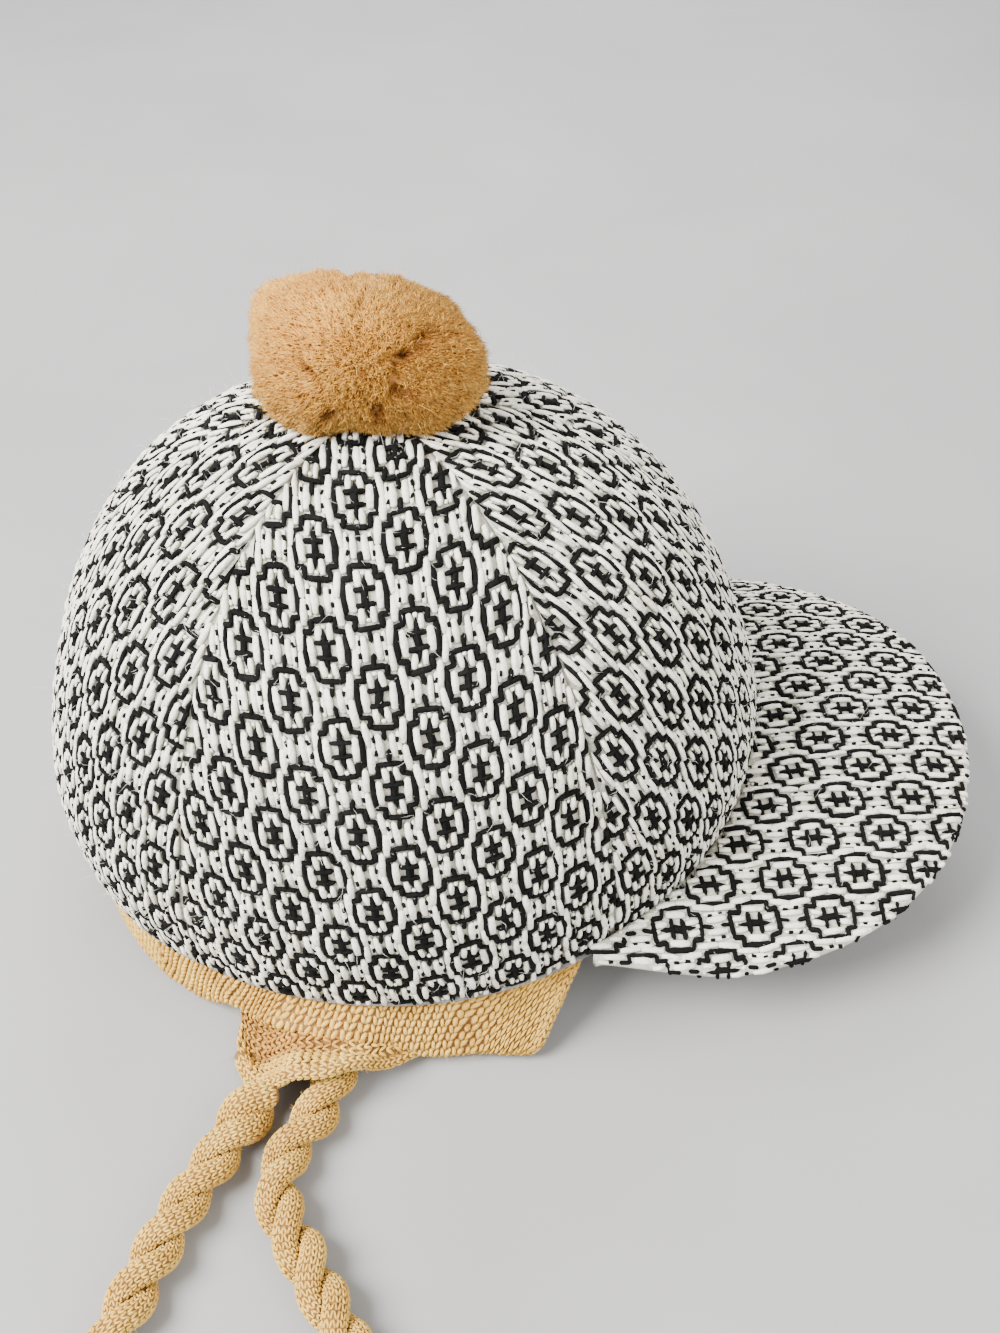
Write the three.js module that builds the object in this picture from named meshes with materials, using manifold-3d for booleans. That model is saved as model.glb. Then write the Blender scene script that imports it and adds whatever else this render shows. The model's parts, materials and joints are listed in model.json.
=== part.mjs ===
import * as THREE from 'three';
import Module from 'manifold-3d';
import { mergeVertices } from 'three/addons/utils/BufferGeometryUtils.js';

// Soft cap on its flaps: +Z up, +X to the peak, -Y the wearer's right side. Millimetres.
const rimHalfLength = 98;
const rimHalfWidth = 82;
const rimHeight = 25;
const crownHeight = 131;
const crownLean = 4;
const frontRise = 14;
const crownWall = 2.8;
const panelFullness = 1.6;
const crownEyeRadius = 5;
const clearance = 0.3;
const sideSeamFront = 60;
const sideSeamBack = 128;

const peakReach = 66;
const peakHalfWidth = 81.5;
const peakThickness = 4.6;
const peakTipHeight = 36;
const peakArch = 13;
const peakSwell = 3;
const peakRootAngle = 61;
const peakCornerWidth = 4;

const knitThickness = 4.2;
const bandInset = 0.6;
const bandFrontAngle = 64;
const bandFrontSlant = 10;
const flapBackAngle = 140;
const turnUnder = 20;
const bandSplay = 5;

const pompomWidth = 55;
const pompomDepth = 51;
const pompomHeight = 37;
const pompomSink = 7;
const pompomCleft = 4;
const lockRadius = 4.6;
const lockLength = 3.4;

const cordDiameter = 12;
const knotRingRadius = 4.6;
const knotStrand = 4.4;

// Crown profile: share of the height, share of the rim's half sizes.
const crownProfile = [
  { up: 0, out: 0.985 },
  { up: 0.1, out: 1.0 },
  { up: 0.22, out: 0.995 },
  { up: 0.36, out: 0.955 },
  { up: 0.5, out: 0.895 },
  { up: 0.63, out: 0.815 },
  { up: 0.75, out: 0.71 },
  { up: 0.85, out: 0.585 },
  { up: 0.925, out: 0.44 },
  { up: 0.975, out: 0.27 },
  { up: 1.0, out: crownEyeRadius / rimHalfLength },
];
const crownRows = [0, 0.05, 0.1, 0.16, 0.22, 0.29, 0.36, 0.43, 0.5, 0.565, 0.63, 0.69, 0.75, 0.8, 0.85, 0.89, 0.925, 0.953, 0.975, 0.99, 1];
const panelColumns = 8;

// Lower edge of the near flap, from its front edge (0) to its back edge (1).
// lift: share of the rim height that the edge stands clear of the table
// splay: share of the band's splay, turn: share of the turned-under depth
const nearEdge = [
  { along: 0, lift: 0, splay: 1.9, turn: 0.35 },
  { along: 0.08, lift: 0, splay: 1.6, turn: 0.6 },
  { along: 0.2, lift: 0, splay: 1.15, turn: 1 },
  { along: 0.34, lift: 0, splay: 1, turn: 1 },
  { along: 0.43, lift: 0.22, splay: 0.8, turn: 1 },
  { along: 0.5, lift: 0.5, splay: 0.5, turn: 1 },
  { along: 0.56, lift: 0.53, splay: 0.4, turn: 1 },
  { along: 0.65, lift: 0.52, splay: 0.25, turn: 1 },
  { along: 0.685, lift: 0.4, splay: 0.2, turn: 1 },
  { along: 0.73, lift: 0.24, splay: 0.1, turn: 1 },
  { along: 0.8, lift: 0.2, splay: 0.05, turn: 1 },
  { along: 0.9, lift: 0, splay: 0, turn: 0.9 },
  { along: 1, lift: 0, splay: 0, turn: 0.7 },
];
const farEdge = [
  { along: 0, lift: 0, splay: 0.8, turn: 0.35 },
  { along: 0.2, lift: 0, splay: 0.9, turn: 0.9 },
  { along: 0.55, lift: 0, splay: 0.6, turn: 1.15 },
  { along: 0.8, lift: 0, splay: 0.3, turn: 1 },
  { along: 1, lift: 0, splay: 0, turn: 0.7 },
];
const backEdge = [
  { along: 0, lift: 0, splay: 0, turn: 0.7 },
  { along: 0.5, lift: 0.12, splay: -0.4, turn: 0.6 },
  { along: 1, lift: 0, splay: 0, turn: 0.7 },
];
// Folded tip of the near flap, from its edge nearer the peak to its back edge.
// at: share along the flap, out: share of the tip reach, lift: share of the rim height
const tipReach = 19;
const tipHeading = -96;
const flapTip = [
  { at: 0.43, out: 0.15, lift: 0.25 },
  { at: 0.495, out: 0.55, lift: 0.5 },
  { at: 0.56, out: 0.88, lift: 0.52 },
  { at: 0.625, out: 0.95, lift: 0.51 },
  { at: 0.67, out: 1, lift: 0.28 },
  { at: 0.71, out: 0.98, lift: 0.03 },
  { at: 0.745, out: 0.84, lift: 0 },
  { at: 0.775, out: 0.42, lift: 0 },
];

// Cord routes on the table, in the cap's own plan: x to the peak, y to the wearer's left.
const nearCordRoute = [
  [-45.1, -91.5], [-53.4, -102.5], [-59.2, -111.8], [-64.5, -119.6], [-69, -128.1], [-72.7, -135.6],
  [-76.2, -143.2], [-78.9, -149.4], [-83.5, -160.5], [-87.8, -171],
];
const farCordRoute = [
  [-31.5, 45], [-30.5, 27], [-27.5, 0], [-24, -30], [-22.6, -56], [-24.2, -74],
  [-27, -88], [-31.6, -98.4], [-37.2, -106.1], [-41.1, -113.7], [-41.6, -120.7], [-38.6, -129.8],
  [-34.8, -137.2], [-31.8, -144.2], [-28.2, -150.7], [-24.5, -160], [-21.5, -172], [-20, -182],
];

const rad = THREE.MathUtils.degToRad;
const lerp = THREE.MathUtils.lerp;

function smooth(table, key, value, column) {
  const last = table.length - 1;
  let i = 0;
  while (i < last - 1 && value > table[i + 1][key]) i += 1;
  const a = table[i];
  const b = table[i + 1];
  const before = table[Math.max(i - 1, 0)];
  const after = table[Math.min(i + 2, last)];
  const span = b[key] - a[key];
  const t = THREE.MathUtils.clamp((value - a[key]) / span, 0, 1);
  const slopeA = i === 0 ? (b[column] - a[column]) / span : (b[column] - before[column]) / (b[key] - before[key]);
  const slopeB = i + 2 > last ? (b[column] - a[column]) / span : (after[column] - a[column]) / (after[key] - a[key]);
  const t2 = t * t;
  const t3 = t2 * t;
  return (2 * t3 - 3 * t2 + 1) * a[column] + (t3 - 2 * t2 + t) * span * slopeA
    + (3 * t2 - 2 * t3) * b[column] + (t3 - t2) * span * slopeB;
}

function hemHeight(angle) {
  return rimHeight + frontRise * Math.max(0, Math.cos(rad(angle))) ** 2;
}

function crownPoint(angle, up, across = 0, grow = 0) {
  const out = smooth(crownProfile, 'up', up, 'out');
  const fade = Math.sin(Math.PI * Math.min(1, 0.2 + up * 0.75));
  const full = panelFullness * 4 * across * (1 - across) * fade + grow;
  const hem = hemHeight(angle);
  const top = rimHeight + crownHeight;
  return new THREE.Vector3(
    -crownLean * up + (rimHalfLength * out + full) * Math.cos(rad(angle)),
    (rimHalfWidth * out + full) * Math.sin(rad(angle)),
    lerp(hem, top, up) + (full * up),
  );
}

function gridNormal(grid, r, c) {
  const r0 = grid[Math.max(r - 1, 0)][c];
  const r1 = grid[Math.min(r + 1, grid.length - 1)][c];
  const c0 = grid[r][Math.max(c - 1, 0)];
  const c1 = grid[r][Math.min(c + 1, grid[r].length - 1)];
  const along = new THREE.Vector3().subVectors(r1, r0);
  const across = new THREE.Vector3().subVectors(c1, c0);
  return across.cross(along).normalize();
}

// Solid between two grids of the same size; the first faces outward along columns x rows.
function slab(face, back) {
  const rows = face.length;
  const columns = face[0].length;
  const positions = [];
  const index = [];
  for (const grid of [face, back]) {
    for (const row of grid) for (const p of row) positions.push(p.x, p.y, p.z);
  }
  const f = (r, c) => r * columns + c;
  const b = (r, c) => rows * columns + r * columns + c;
  for (let r = 0; r < rows - 1; r += 1) {
    for (let c = 0; c < columns - 1; c += 1) {
      index.push(f(r, c), f(r, c + 1), f(r + 1, c + 1), f(r, c), f(r + 1, c + 1), f(r + 1, c));
      index.push(b(r, c), b(r + 1, c + 1), b(r, c + 1), b(r, c), b(r + 1, c), b(r + 1, c + 1));
    }
  }
  for (let c = 0; c < columns - 1; c += 1) {
    index.push(f(0, c), b(0, c), b(0, c + 1), f(0, c), b(0, c + 1), f(0, c + 1));
    const r = rows - 1;
    index.push(f(r, c), f(r, c + 1), b(r, c + 1), f(r, c), b(r, c + 1), b(r, c));
  }
  for (let r = 0; r < rows - 1; r += 1) {
    index.push(f(r, 0), f(r + 1, 0), b(r + 1, 0), f(r, 0), b(r + 1, 0), b(r, 0));
    const c = columns - 1;
    index.push(f(r, c), b(r, c), b(r + 1, c), f(r, c), b(r + 1, c), f(r + 1, c));
  }
  const geometry = new THREE.BufferGeometry();
  geometry.setAttribute('position', new THREE.Float32BufferAttribute(positions, 3));
  geometry.setIndex(index);
  return geometry;
}

function offsetGrid(grid, distance) {
  return grid.map((row, r) => row.map((p, c) => p.clone().addScaledVector(gridNormal(grid, r, c), distance)));
}

const wasm = await Module();
wasm.setup();

function toManifold(geometry) {
  const bare = geometry.clone();
  bare.deleteAttribute('normal');
  bare.deleteAttribute('uv');
  const merged = mergeVertices(bare, 1e-4);
  const mesh = new wasm.Mesh({
    numProp: 3,
    vertProperties: new Float32Array(merged.attributes.position.array),
    triVerts: new Uint32Array(merged.index.array),
  });
  return new wasm.Manifold(mesh);
}

function fromManifold(solid) {
  const mesh = solid.getMesh();
  const geometry = new THREE.BufferGeometry();
  geometry.setAttribute('position', new THREE.BufferAttribute(new Float32Array(mesh.vertProperties), 3));
  geometry.setIndex(new THREE.BufferAttribute(new Uint32Array(mesh.triVerts), 1));
  return geometry;
}

const ivoryCloth = new THREE.MeshStandardMaterial({ color: 0xd8d3c4, roughness: 0.95 });
const tanKnit = new THREE.MeshStandardMaterial({ color: 0xc9a574, roughness: 0.95 });
const camelYarn = new THREE.MeshStandardMaterial({ color: 0xcf9f68, roughness: 0.95 });

const cap = new THREE.Group();
function addPiece(name, geometry, material) {
  geometry.computeVertexNormals();
  const mesh = new THREE.Mesh(geometry, material);
  mesh.name = name;
  cap.add(mesh);
}

// Crown
function panel(fromAngle, toAngle) {
  const outer = crownRows.map((up) => {
    const radius = rimHalfLength * smooth(crownProfile, 'up', up, 'out');
    const inset = THREE.MathUtils.radToDeg(clearance / 2 / radius) * 1.25;
    const row = [];
    for (let c = 0; c <= panelColumns; c += 1) {
      const across = c / panelColumns;
      row.push(crownPoint(lerp(fromAngle + inset, toAngle - inset, across), up, across));
    }
    return row;
  });
  return slab(outer, offsetGrid(outer, -crownWall));
}
const panels = [
  { name: 'panel_front_left', from: 0, to: sideSeamFront },
  { name: 'panel_side_left', from: sideSeamFront, to: sideSeamBack },
  { name: 'panel_back_left', from: sideSeamBack, to: 180 },
  { name: 'panel_back_right', from: 180, to: 360 - sideSeamBack },
  { name: 'panel_side_right', from: 360 - sideSeamBack, to: 360 - sideSeamFront },
  { name: 'panel_front_right', from: 360 - sideSeamFront, to: 360 },
];
for (const { name, from, to } of panels) addPiece(name, panel(from, to), ivoryCloth);

// Peak: from the hem out to its rounded edge
function crownFace(angle, height) {
  const hem = hemHeight(angle);
  const up = (height - hem) / (rimHeight + crownHeight - hem);
  const seams = [-sideSeamFront, 0, sideSeamFront];
  const k = angle < 0 ? 0 : 1;
  const across = THREE.MathUtils.clamp((angle - seams[k]) / (seams[k + 1] - seams[k]), 0, 1);
  const p = crownPoint(angle, up, across);
  const outward = new THREE.Vector3(Math.cos(rad(angle)) / rimHalfLength, Math.sin(rad(angle)) / rimHalfWidth, 0);
  return p.addScaledVector(outward.normalize(), clearance + 0.15);
}
const peakStations = 28;
const peakShares = [0, 0.16, 0.34, 0.52, 0.7, 0.85, 0.95, 1];
const peakTop = [];
const peakUnder = [];
for (let i = 0; i <= peakStations; i += 1) {
  const v = lerp(-1, 1, i / peakStations);
  const angle = v * peakRootAngle;
  const side = Math.sin(rad(v * 90));
  const hem = hemHeight(angle);
  const rootTop = crownFace(angle, hem + peakThickness);
  const rootUnder = crownFace(angle, hem);
  const cornerX = rimHalfLength * Math.cos(rad(peakRootAngle)) - 6;
  const edge = new THREE.Vector3(
    cornerX + (rimHalfLength + peakReach - cornerX) * Math.cos(rad(v * 90)) ** 0.575,
    peakHalfWidth * side,
    peakTipHeight - peakArch * side * side,
  );
  const corner = rootTop.clone().setZ(hem + peakThickness / 2);
  corner.y += Math.sign(v) * peakCornerWidth;
  edge.lerp(corner, THREE.MathUtils.smoothstep(Math.abs(v), 0.9, 1));
  const top = [];
  const under = [];
  for (const t of peakShares) {
    const round = t < 0.9 ? 0 : (t - 0.9) / 0.1;
    const half = (peakThickness / 2) * (1 - 0.62 * round * round);
    const swell = peakSwell * Math.sin(Math.PI * t) * (1 - side * side);
    const a = rootTop.clone().lerp(edge, t);
    const b = rootUnder.clone().lerp(edge, t);
    a.z = lerp(rootTop.z, edge.z + half, t) + swell;
    b.z = lerp(rootUnder.z, edge.z - half, t) + swell;
    top.push(a);
    under.push(b);
  }
  peakTop.push(top);
  peakUnder.push(under);
}
addPiece('peak', slab(peakTop, peakUnder).scale(1, 1, 1), ivoryCloth);

// Knit band under the hem, turned under at its lower edge
const hemOverhang = clearance;
function rimAt(angle, inset) {
  const out = crownProfile[0].out;
  const p = new THREE.Vector3(rimHalfLength * out * Math.cos(rad(angle)), rimHalfWidth * out * Math.sin(rad(angle)), 0);
  const n = new THREE.Vector3(Math.cos(rad(angle)) / rimHalfLength, Math.sin(rad(angle)) / rimHalfWidth, 0).normalize();
  return { p: p.addScaledVector(n, -inset), n };
}
function bandSection(angle, slant, row) {
  const half = knitThickness / 2;
  const lift = row.lift * rimHeight;
  const top = hemHeight(angle) - hemOverhang;
  const splay = row.splay * bandSplay;
  const turn = row.turn * turnUnder;
  const floor = lift + half;
  const bend = 3.2;
  const path = [
    { d: 0, z: top },
    { d: 0, z: lerp(top, floor + bend, 0.12) },
    { d: 0.2 * splay, z: lerp(top, floor + bend, 0.35) },
    { d: 0.62 * splay, z: lerp(top, floor + bend, 0.72) },
    { d: splay, z: floor + bend },
    { d: splay - 0.29 * bend, z: floor + 0.29 * bend },
    { d: splay - bend, z: floor },
    { d: splay - bend - 0.5 * turn, z: floor },
    { d: splay - bend - turn, z: floor },
  ];
  return path.map(({ d, z }) => {
    const down = (top - z) / top;
    const { p, n } = rimAt(angle + slant * down, bandInset + half);
    p.addScaledVector(n, d);
    p.z = z;
    return p;
  });
}
function bandGrid(from, to, table, stations, frontEnd) {
  const grid = [];
  for (let i = 0; i <= stations; i += 1) {
    const along = i / stations;
    const row = { lift: 0, splay: 0, turn: 0 };
    for (const key of Object.keys(row)) row[key] = smooth(table, 'along', along, key);
    row.lift = Math.max(0, row.lift);
    const slant = frontEnd * bandFrontSlant * Math.max(0, 1 - along / 0.3);
    grid.push(bandSection(lerp(from, to, along), slant, row));
  }
  return grid;
}
function sheet(grid, facing) {
  const face = offsetGrid(grid, (facing * knitThickness) / 2);
  const back = offsetGrid(grid, (-facing * knitThickness) / 2);
  grid.forEach((row, r) => {
    face[r][0].z = row[0].z;
    back[r][0].z = row[0].z;
  });
  return facing > 0 ? slab(face, back) : slab(back, face);
}

const gapAngle = THREE.MathUtils.radToDeg(clearance / (rimHalfWidth - turnUnder)) * 1.5;
const nearGrid = bandGrid(-bandFrontAngle, -flapBackAngle + gapAngle, nearEdge, 24, -1);
const farGrid = bandGrid(bandFrontAngle, flapBackAngle - gapAngle, farEdge, 18, 1);
const backGrid = bandGrid(flapBackAngle, 360 - flapBackAngle, backEdge, 16, 0);

function tipSolid() {
  const half = knitThickness / 2;
  const top = [];
  const under = [];
  for (const row of flapTip) {
    const angle = lerp(-bandFrontAngle, -flapBackAngle, row.at);
    const { p } = rimAt(angle, 0);
    const n = new THREE.Vector3(Math.cos(rad(tipHeading)), Math.sin(rad(tipHeading)), 0);
    const base = row.lift * rimHeight;
    const reach = row.out * tipReach;
    const shares = [
      { d: reach - 0.4, low: 1.1, high: knitThickness - 1.1 },
      { d: reach - 1.6, low: 0, high: knitThickness },
      { d: reach - 5, low: 0, high: knitThickness },
      { d: -5, low: 0, high: knitThickness },
      { d: -9, low: 0, high: knitThickness + half },
      { d: -turnUnder, low: 0, high: knitThickness + half },
    ];
    top.push(shares.map(({ d, high }) => p.clone().addScaledVector(n, d).setZ(base + high)));
    under.push(shares.map(({ d, low }) => p.clone().addScaledVector(n, d).setZ(base + low)));
  }
  return slab(top, under);
}

const nearSolid = toManifold(sheet(nearGrid, 1)).add(toManifold(tipSolid()));
addPiece('ear_flap_right', fromManifold(nearSolid), tanKnit);
addPiece('ear_flap_left', sheet(farGrid, -1), tanKnit);
addPiece('neck_band', sheet(backGrid, -1), tanKnit);

// Pompom: locks fused to a two-lobed head, hollowed to sit on the crown
const crownTop = rimHeight + crownHeight;
const pompomCentre = new THREE.Vector3(-crownLean - 0.5, 0, crownTop + pompomHeight / 2 - pompomSink);
const pompomLobes = [
  { share: -0.27, width: 0.64, deep: 0.9, high: 0.94 },
  { share: 0.17, width: 0.78, deep: 1, high: 1 },
];
function lobeSolid({ share, width, deep, high }) {
  const half = pompomWidth / 2 - lockLength * 0.5;
  const depth = pompomDepth / 2 - lockLength * 0.5;
  const tall = pompomHeight / 2 - lockLength * 0.5;
  const ball = wasm.Manifold.sphere(1, 20);
  return ball.scale([half * width, depth * deep, tall * high])
    .translate([pompomCentre.x + share * half, pompomCentre.y, pompomCentre.z]);
}
function lockSolid(i, count) {
  const level = 1 - (2 * (i + 0.5)) / count;
  const turn = i * 2.39996;
  const ring = Math.sqrt(1 - level * level);
  const way = new THREE.Vector3(ring * Math.cos(turn), ring * Math.sin(turn), level);
  const cleft = Math.exp(-(((way.x + 0.1) / 0.16) ** 2)) * Math.max(0, way.z) * pompomCleft;
  const foot = new THREE.Vector3(
    way.x * (pompomWidth / 2 - lockLength),
    way.y * (pompomDepth / 2 - lockLength),
    way.z * (pompomHeight / 2 - lockLength) - cleft,
  );
  const out = new THREE.Vector3(way.x / pompomWidth, way.y / pompomDepth, way.z / pompomHeight).normalize();
  const turnTo = new THREE.Quaternion().setFromUnitVectors(new THREE.Vector3(0, 0, 1), out);
  const place = new THREE.Matrix4().compose(foot.add(pompomCentre), turnTo, new THREE.Vector3(1, 1, 1));
  const lock = wasm.Manifold.cylinder(lockLength * 2, lockRadius * 1.15, lockRadius * 0.72, 6, true)
    .translate([0, 0, 0]);
  return lock.transform(place.toArray());
}
function crownBlock(grow) {
  const columns = 48;
  const faces = crownRows.slice(12).map((up) => {
    const row = [];
    for (let c = 0; c <= columns; c += 1) {
      const p = crownPoint((360 * (c % columns)) / columns, up, 0.5, grow);
      p.z = Math.max(p.z, 0) + grow;
      row.push(p);
    }
    return row;
  });
  const bottom = faces[0][0].z - 40;
  const ring = faces[0].map((p) => p.clone().setZ(bottom));
  const centreTop = ring.map(() => new THREE.Vector3(-crownLean, 0, crownTop + 2 * grow));
  const centreBottom = ring.map(() => new THREE.Vector3(-crownLean, 0, bottom));
  const rows = [centreBottom, ring, ...faces, centreTop];
  const positions = [];
  const index = [];
  rows.forEach((row) => row.forEach((p) => positions.push(p.x, p.y, p.z)));
  const at = (r, c) => r * (columns + 1) + (c % columns);
  for (let r = 0; r < rows.length - 1; r += 1) {
    for (let c = 0; c < columns; c += 1) {
      if (r > 0) index.push(at(r, c), at(r, c + 1), at(r + 1, r === rows.length - 2 ? 0 : c + 1));
      if (r < rows.length - 2) index.push(at(r, r === 0 ? 0 : c), at(r + 1, c + 1), at(r + 1, c));
    }
  }
  const geometry = new THREE.BufferGeometry();
  geometry.setAttribute('position', new THREE.Float32BufferAttribute(positions, 3));
  geometry.setIndex(index);
  return toManifold(geometry);
}
const lockCount = 56;
let pompom = lobeSolid(pompomLobes[0]).add(lobeSolid(pompomLobes[1]));
for (let i = 0; i < lockCount; i += 1) pompom = pompom.add(lockSolid(i, lockCount));
pompom = pompom.subtract(crownBlock(clearance));
addPiece('pompom', fromManifold(pompom), camelYarn);

// Tie cords on the table, each with a knot on its free end
const knotReach = knotRingRadius + knotStrand;
function cordCurve(route) {
  return new THREE.CatmullRomCurve3(route.map(([x, y]) => new THREE.Vector3(x, y, cordDiameter / 2)), false, 'centripetal');
}
function cordPiece(name, route) {
  const curve = cordCurve(route);
  const section = new THREE.Shape();
  const sides = 10;
  for (let i = 0; i < sides; i += 1) {
    const a = ((i + 0.5) * 2 * Math.PI) / sides;
    const x = (cordDiameter / 2) * Math.cos(a);
    const y = (cordDiameter / 2) * Math.sin(a);
    if (i === 0) section.moveTo(x, y);
    else section.lineTo(x, y);
  }
  const steps = Math.round(curve.getLength() / (1.6 * cordDiameter));
  addPiece(name, new THREE.ExtrudeGeometry(section, { steps, extrudePath: curve, bevelEnabled: false }), tanKnit);
  return curve;
}
function knotPiece(name, curve) {
  const heading = curve.getTangent(1);
  const rings = [
    { tilt: 62, shift: 0.75 },
    { tilt: -58, shift: 1.15 },
  ];
  let knot = null;
  for (const { tilt, shift } of rings) {
    const ring = new THREE.TorusGeometry(knotRingRadius, knotStrand, 8, 14);
    ring.rotateX(rad(tilt));
    ring.translate(shift * knotReach * 0.95, 0, 0);
    const solid = toManifold(ring);
    knot = knot ? knot.add(solid) : solid;
  }
  const core = wasm.Manifold.sphere(knotRingRadius * 1.25, 12).translate([0.95 * knotReach, 0, 0]);
  knot = knot.add(core);
  const low = knot.boundingBox().min;
  const start = curve.getPoint(1);
  knot = knot.translate([clearance - low[0], 0, -low[2]])
    .rotate([0, 0, THREE.MathUtils.radToDeg(Math.atan2(heading.y, heading.x))])
    .translate([start.x, start.y, 0]);
  addPiece(name, fromManifold(knot), tanKnit);
}
knotPiece('tie_knot_right', cordPiece('tie_cord_right', nearCordRoute));
knotPiece('tie_knot_left', cordPiece('tie_cord_left', farCordRoute));

// Origin under the middle of the cap itself
const cordNames = ['tie_cord_right', 'tie_cord_left', 'tie_knot_right', 'tie_knot_left'];
const box = new THREE.Box3();
cap.children.filter((piece) => !cordNames.includes(piece.name)).forEach((piece) => box.expandByObject(piece, true));
const middle = box.getCenter(new THREE.Vector3());
cap.children.forEach((piece) => piece.geometry.translate(-middle.x, -middle.y, -box.min.z));
cap.updateMatrixWorld(true);
export default cap;
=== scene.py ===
import json
import math
import bmesh
import bpy
import numpy as np
from mathutils import Vector
from mathutils.bvhtree import BVHTree
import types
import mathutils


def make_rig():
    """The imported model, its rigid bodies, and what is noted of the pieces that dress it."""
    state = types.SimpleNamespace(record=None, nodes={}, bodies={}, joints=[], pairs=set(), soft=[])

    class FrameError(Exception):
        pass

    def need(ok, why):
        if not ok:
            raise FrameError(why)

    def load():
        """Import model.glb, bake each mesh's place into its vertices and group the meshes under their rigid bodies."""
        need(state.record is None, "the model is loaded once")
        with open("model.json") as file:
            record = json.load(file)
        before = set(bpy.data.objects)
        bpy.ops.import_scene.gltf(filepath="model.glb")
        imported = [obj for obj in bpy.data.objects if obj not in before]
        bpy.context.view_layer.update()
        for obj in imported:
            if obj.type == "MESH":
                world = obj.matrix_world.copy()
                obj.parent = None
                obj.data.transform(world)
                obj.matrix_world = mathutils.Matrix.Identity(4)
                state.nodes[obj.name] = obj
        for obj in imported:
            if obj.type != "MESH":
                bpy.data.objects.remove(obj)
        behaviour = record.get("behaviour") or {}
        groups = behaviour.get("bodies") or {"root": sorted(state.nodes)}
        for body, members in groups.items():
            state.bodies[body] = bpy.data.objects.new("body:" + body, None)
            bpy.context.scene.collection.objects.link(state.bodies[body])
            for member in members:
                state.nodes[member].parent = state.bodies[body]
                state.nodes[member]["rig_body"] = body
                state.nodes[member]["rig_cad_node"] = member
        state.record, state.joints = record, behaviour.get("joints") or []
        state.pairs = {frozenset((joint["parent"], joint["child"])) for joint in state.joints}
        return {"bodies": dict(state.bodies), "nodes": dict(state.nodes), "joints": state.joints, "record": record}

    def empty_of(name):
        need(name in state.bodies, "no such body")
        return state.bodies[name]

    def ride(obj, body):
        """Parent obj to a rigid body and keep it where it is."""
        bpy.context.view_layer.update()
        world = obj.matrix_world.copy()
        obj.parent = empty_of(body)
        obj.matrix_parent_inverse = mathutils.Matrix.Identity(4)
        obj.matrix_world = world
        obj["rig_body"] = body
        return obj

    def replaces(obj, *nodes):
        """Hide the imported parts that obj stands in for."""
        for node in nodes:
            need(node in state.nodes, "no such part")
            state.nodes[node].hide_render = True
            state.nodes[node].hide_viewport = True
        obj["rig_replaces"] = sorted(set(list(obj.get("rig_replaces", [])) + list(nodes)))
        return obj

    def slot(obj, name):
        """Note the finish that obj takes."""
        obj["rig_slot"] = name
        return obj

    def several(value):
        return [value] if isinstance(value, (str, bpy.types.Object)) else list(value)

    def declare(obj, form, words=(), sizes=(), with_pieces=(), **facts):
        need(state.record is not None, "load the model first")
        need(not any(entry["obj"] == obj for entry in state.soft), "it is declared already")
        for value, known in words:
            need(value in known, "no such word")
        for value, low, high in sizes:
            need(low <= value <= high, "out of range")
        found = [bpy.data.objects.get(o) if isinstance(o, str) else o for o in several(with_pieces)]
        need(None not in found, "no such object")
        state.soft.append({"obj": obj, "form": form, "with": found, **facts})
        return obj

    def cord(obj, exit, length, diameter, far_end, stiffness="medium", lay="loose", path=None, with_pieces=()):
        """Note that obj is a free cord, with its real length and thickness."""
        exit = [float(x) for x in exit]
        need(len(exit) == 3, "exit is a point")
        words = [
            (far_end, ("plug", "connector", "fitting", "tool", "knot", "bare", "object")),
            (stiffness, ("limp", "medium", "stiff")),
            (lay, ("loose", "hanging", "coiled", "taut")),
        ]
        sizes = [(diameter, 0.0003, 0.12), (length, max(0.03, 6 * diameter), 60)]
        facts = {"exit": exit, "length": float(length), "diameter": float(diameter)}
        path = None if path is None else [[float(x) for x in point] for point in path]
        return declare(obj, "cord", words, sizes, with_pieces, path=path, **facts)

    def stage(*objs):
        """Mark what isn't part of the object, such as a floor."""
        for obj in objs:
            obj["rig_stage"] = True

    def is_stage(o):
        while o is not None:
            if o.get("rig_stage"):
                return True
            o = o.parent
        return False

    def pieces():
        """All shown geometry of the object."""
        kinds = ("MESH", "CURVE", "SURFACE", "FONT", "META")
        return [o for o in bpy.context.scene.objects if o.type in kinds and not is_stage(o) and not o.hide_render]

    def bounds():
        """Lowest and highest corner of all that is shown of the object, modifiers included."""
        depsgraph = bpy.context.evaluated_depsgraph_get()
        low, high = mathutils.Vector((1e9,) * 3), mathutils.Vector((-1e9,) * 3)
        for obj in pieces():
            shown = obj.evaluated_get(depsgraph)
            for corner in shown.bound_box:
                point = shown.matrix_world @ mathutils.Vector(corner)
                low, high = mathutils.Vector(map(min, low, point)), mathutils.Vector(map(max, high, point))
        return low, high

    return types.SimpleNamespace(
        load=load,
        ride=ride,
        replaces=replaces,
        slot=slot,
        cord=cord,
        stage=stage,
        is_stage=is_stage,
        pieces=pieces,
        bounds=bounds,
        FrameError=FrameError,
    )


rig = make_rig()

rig.load()
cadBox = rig.bounds()
rng = np.random.default_rng(41)
mm = 0.001

# The part's plan is drawn round the middle of the rim; this brings it under the frame's origin.
capMiddle = np.array([32.642, -4.770, 0.0])


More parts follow.
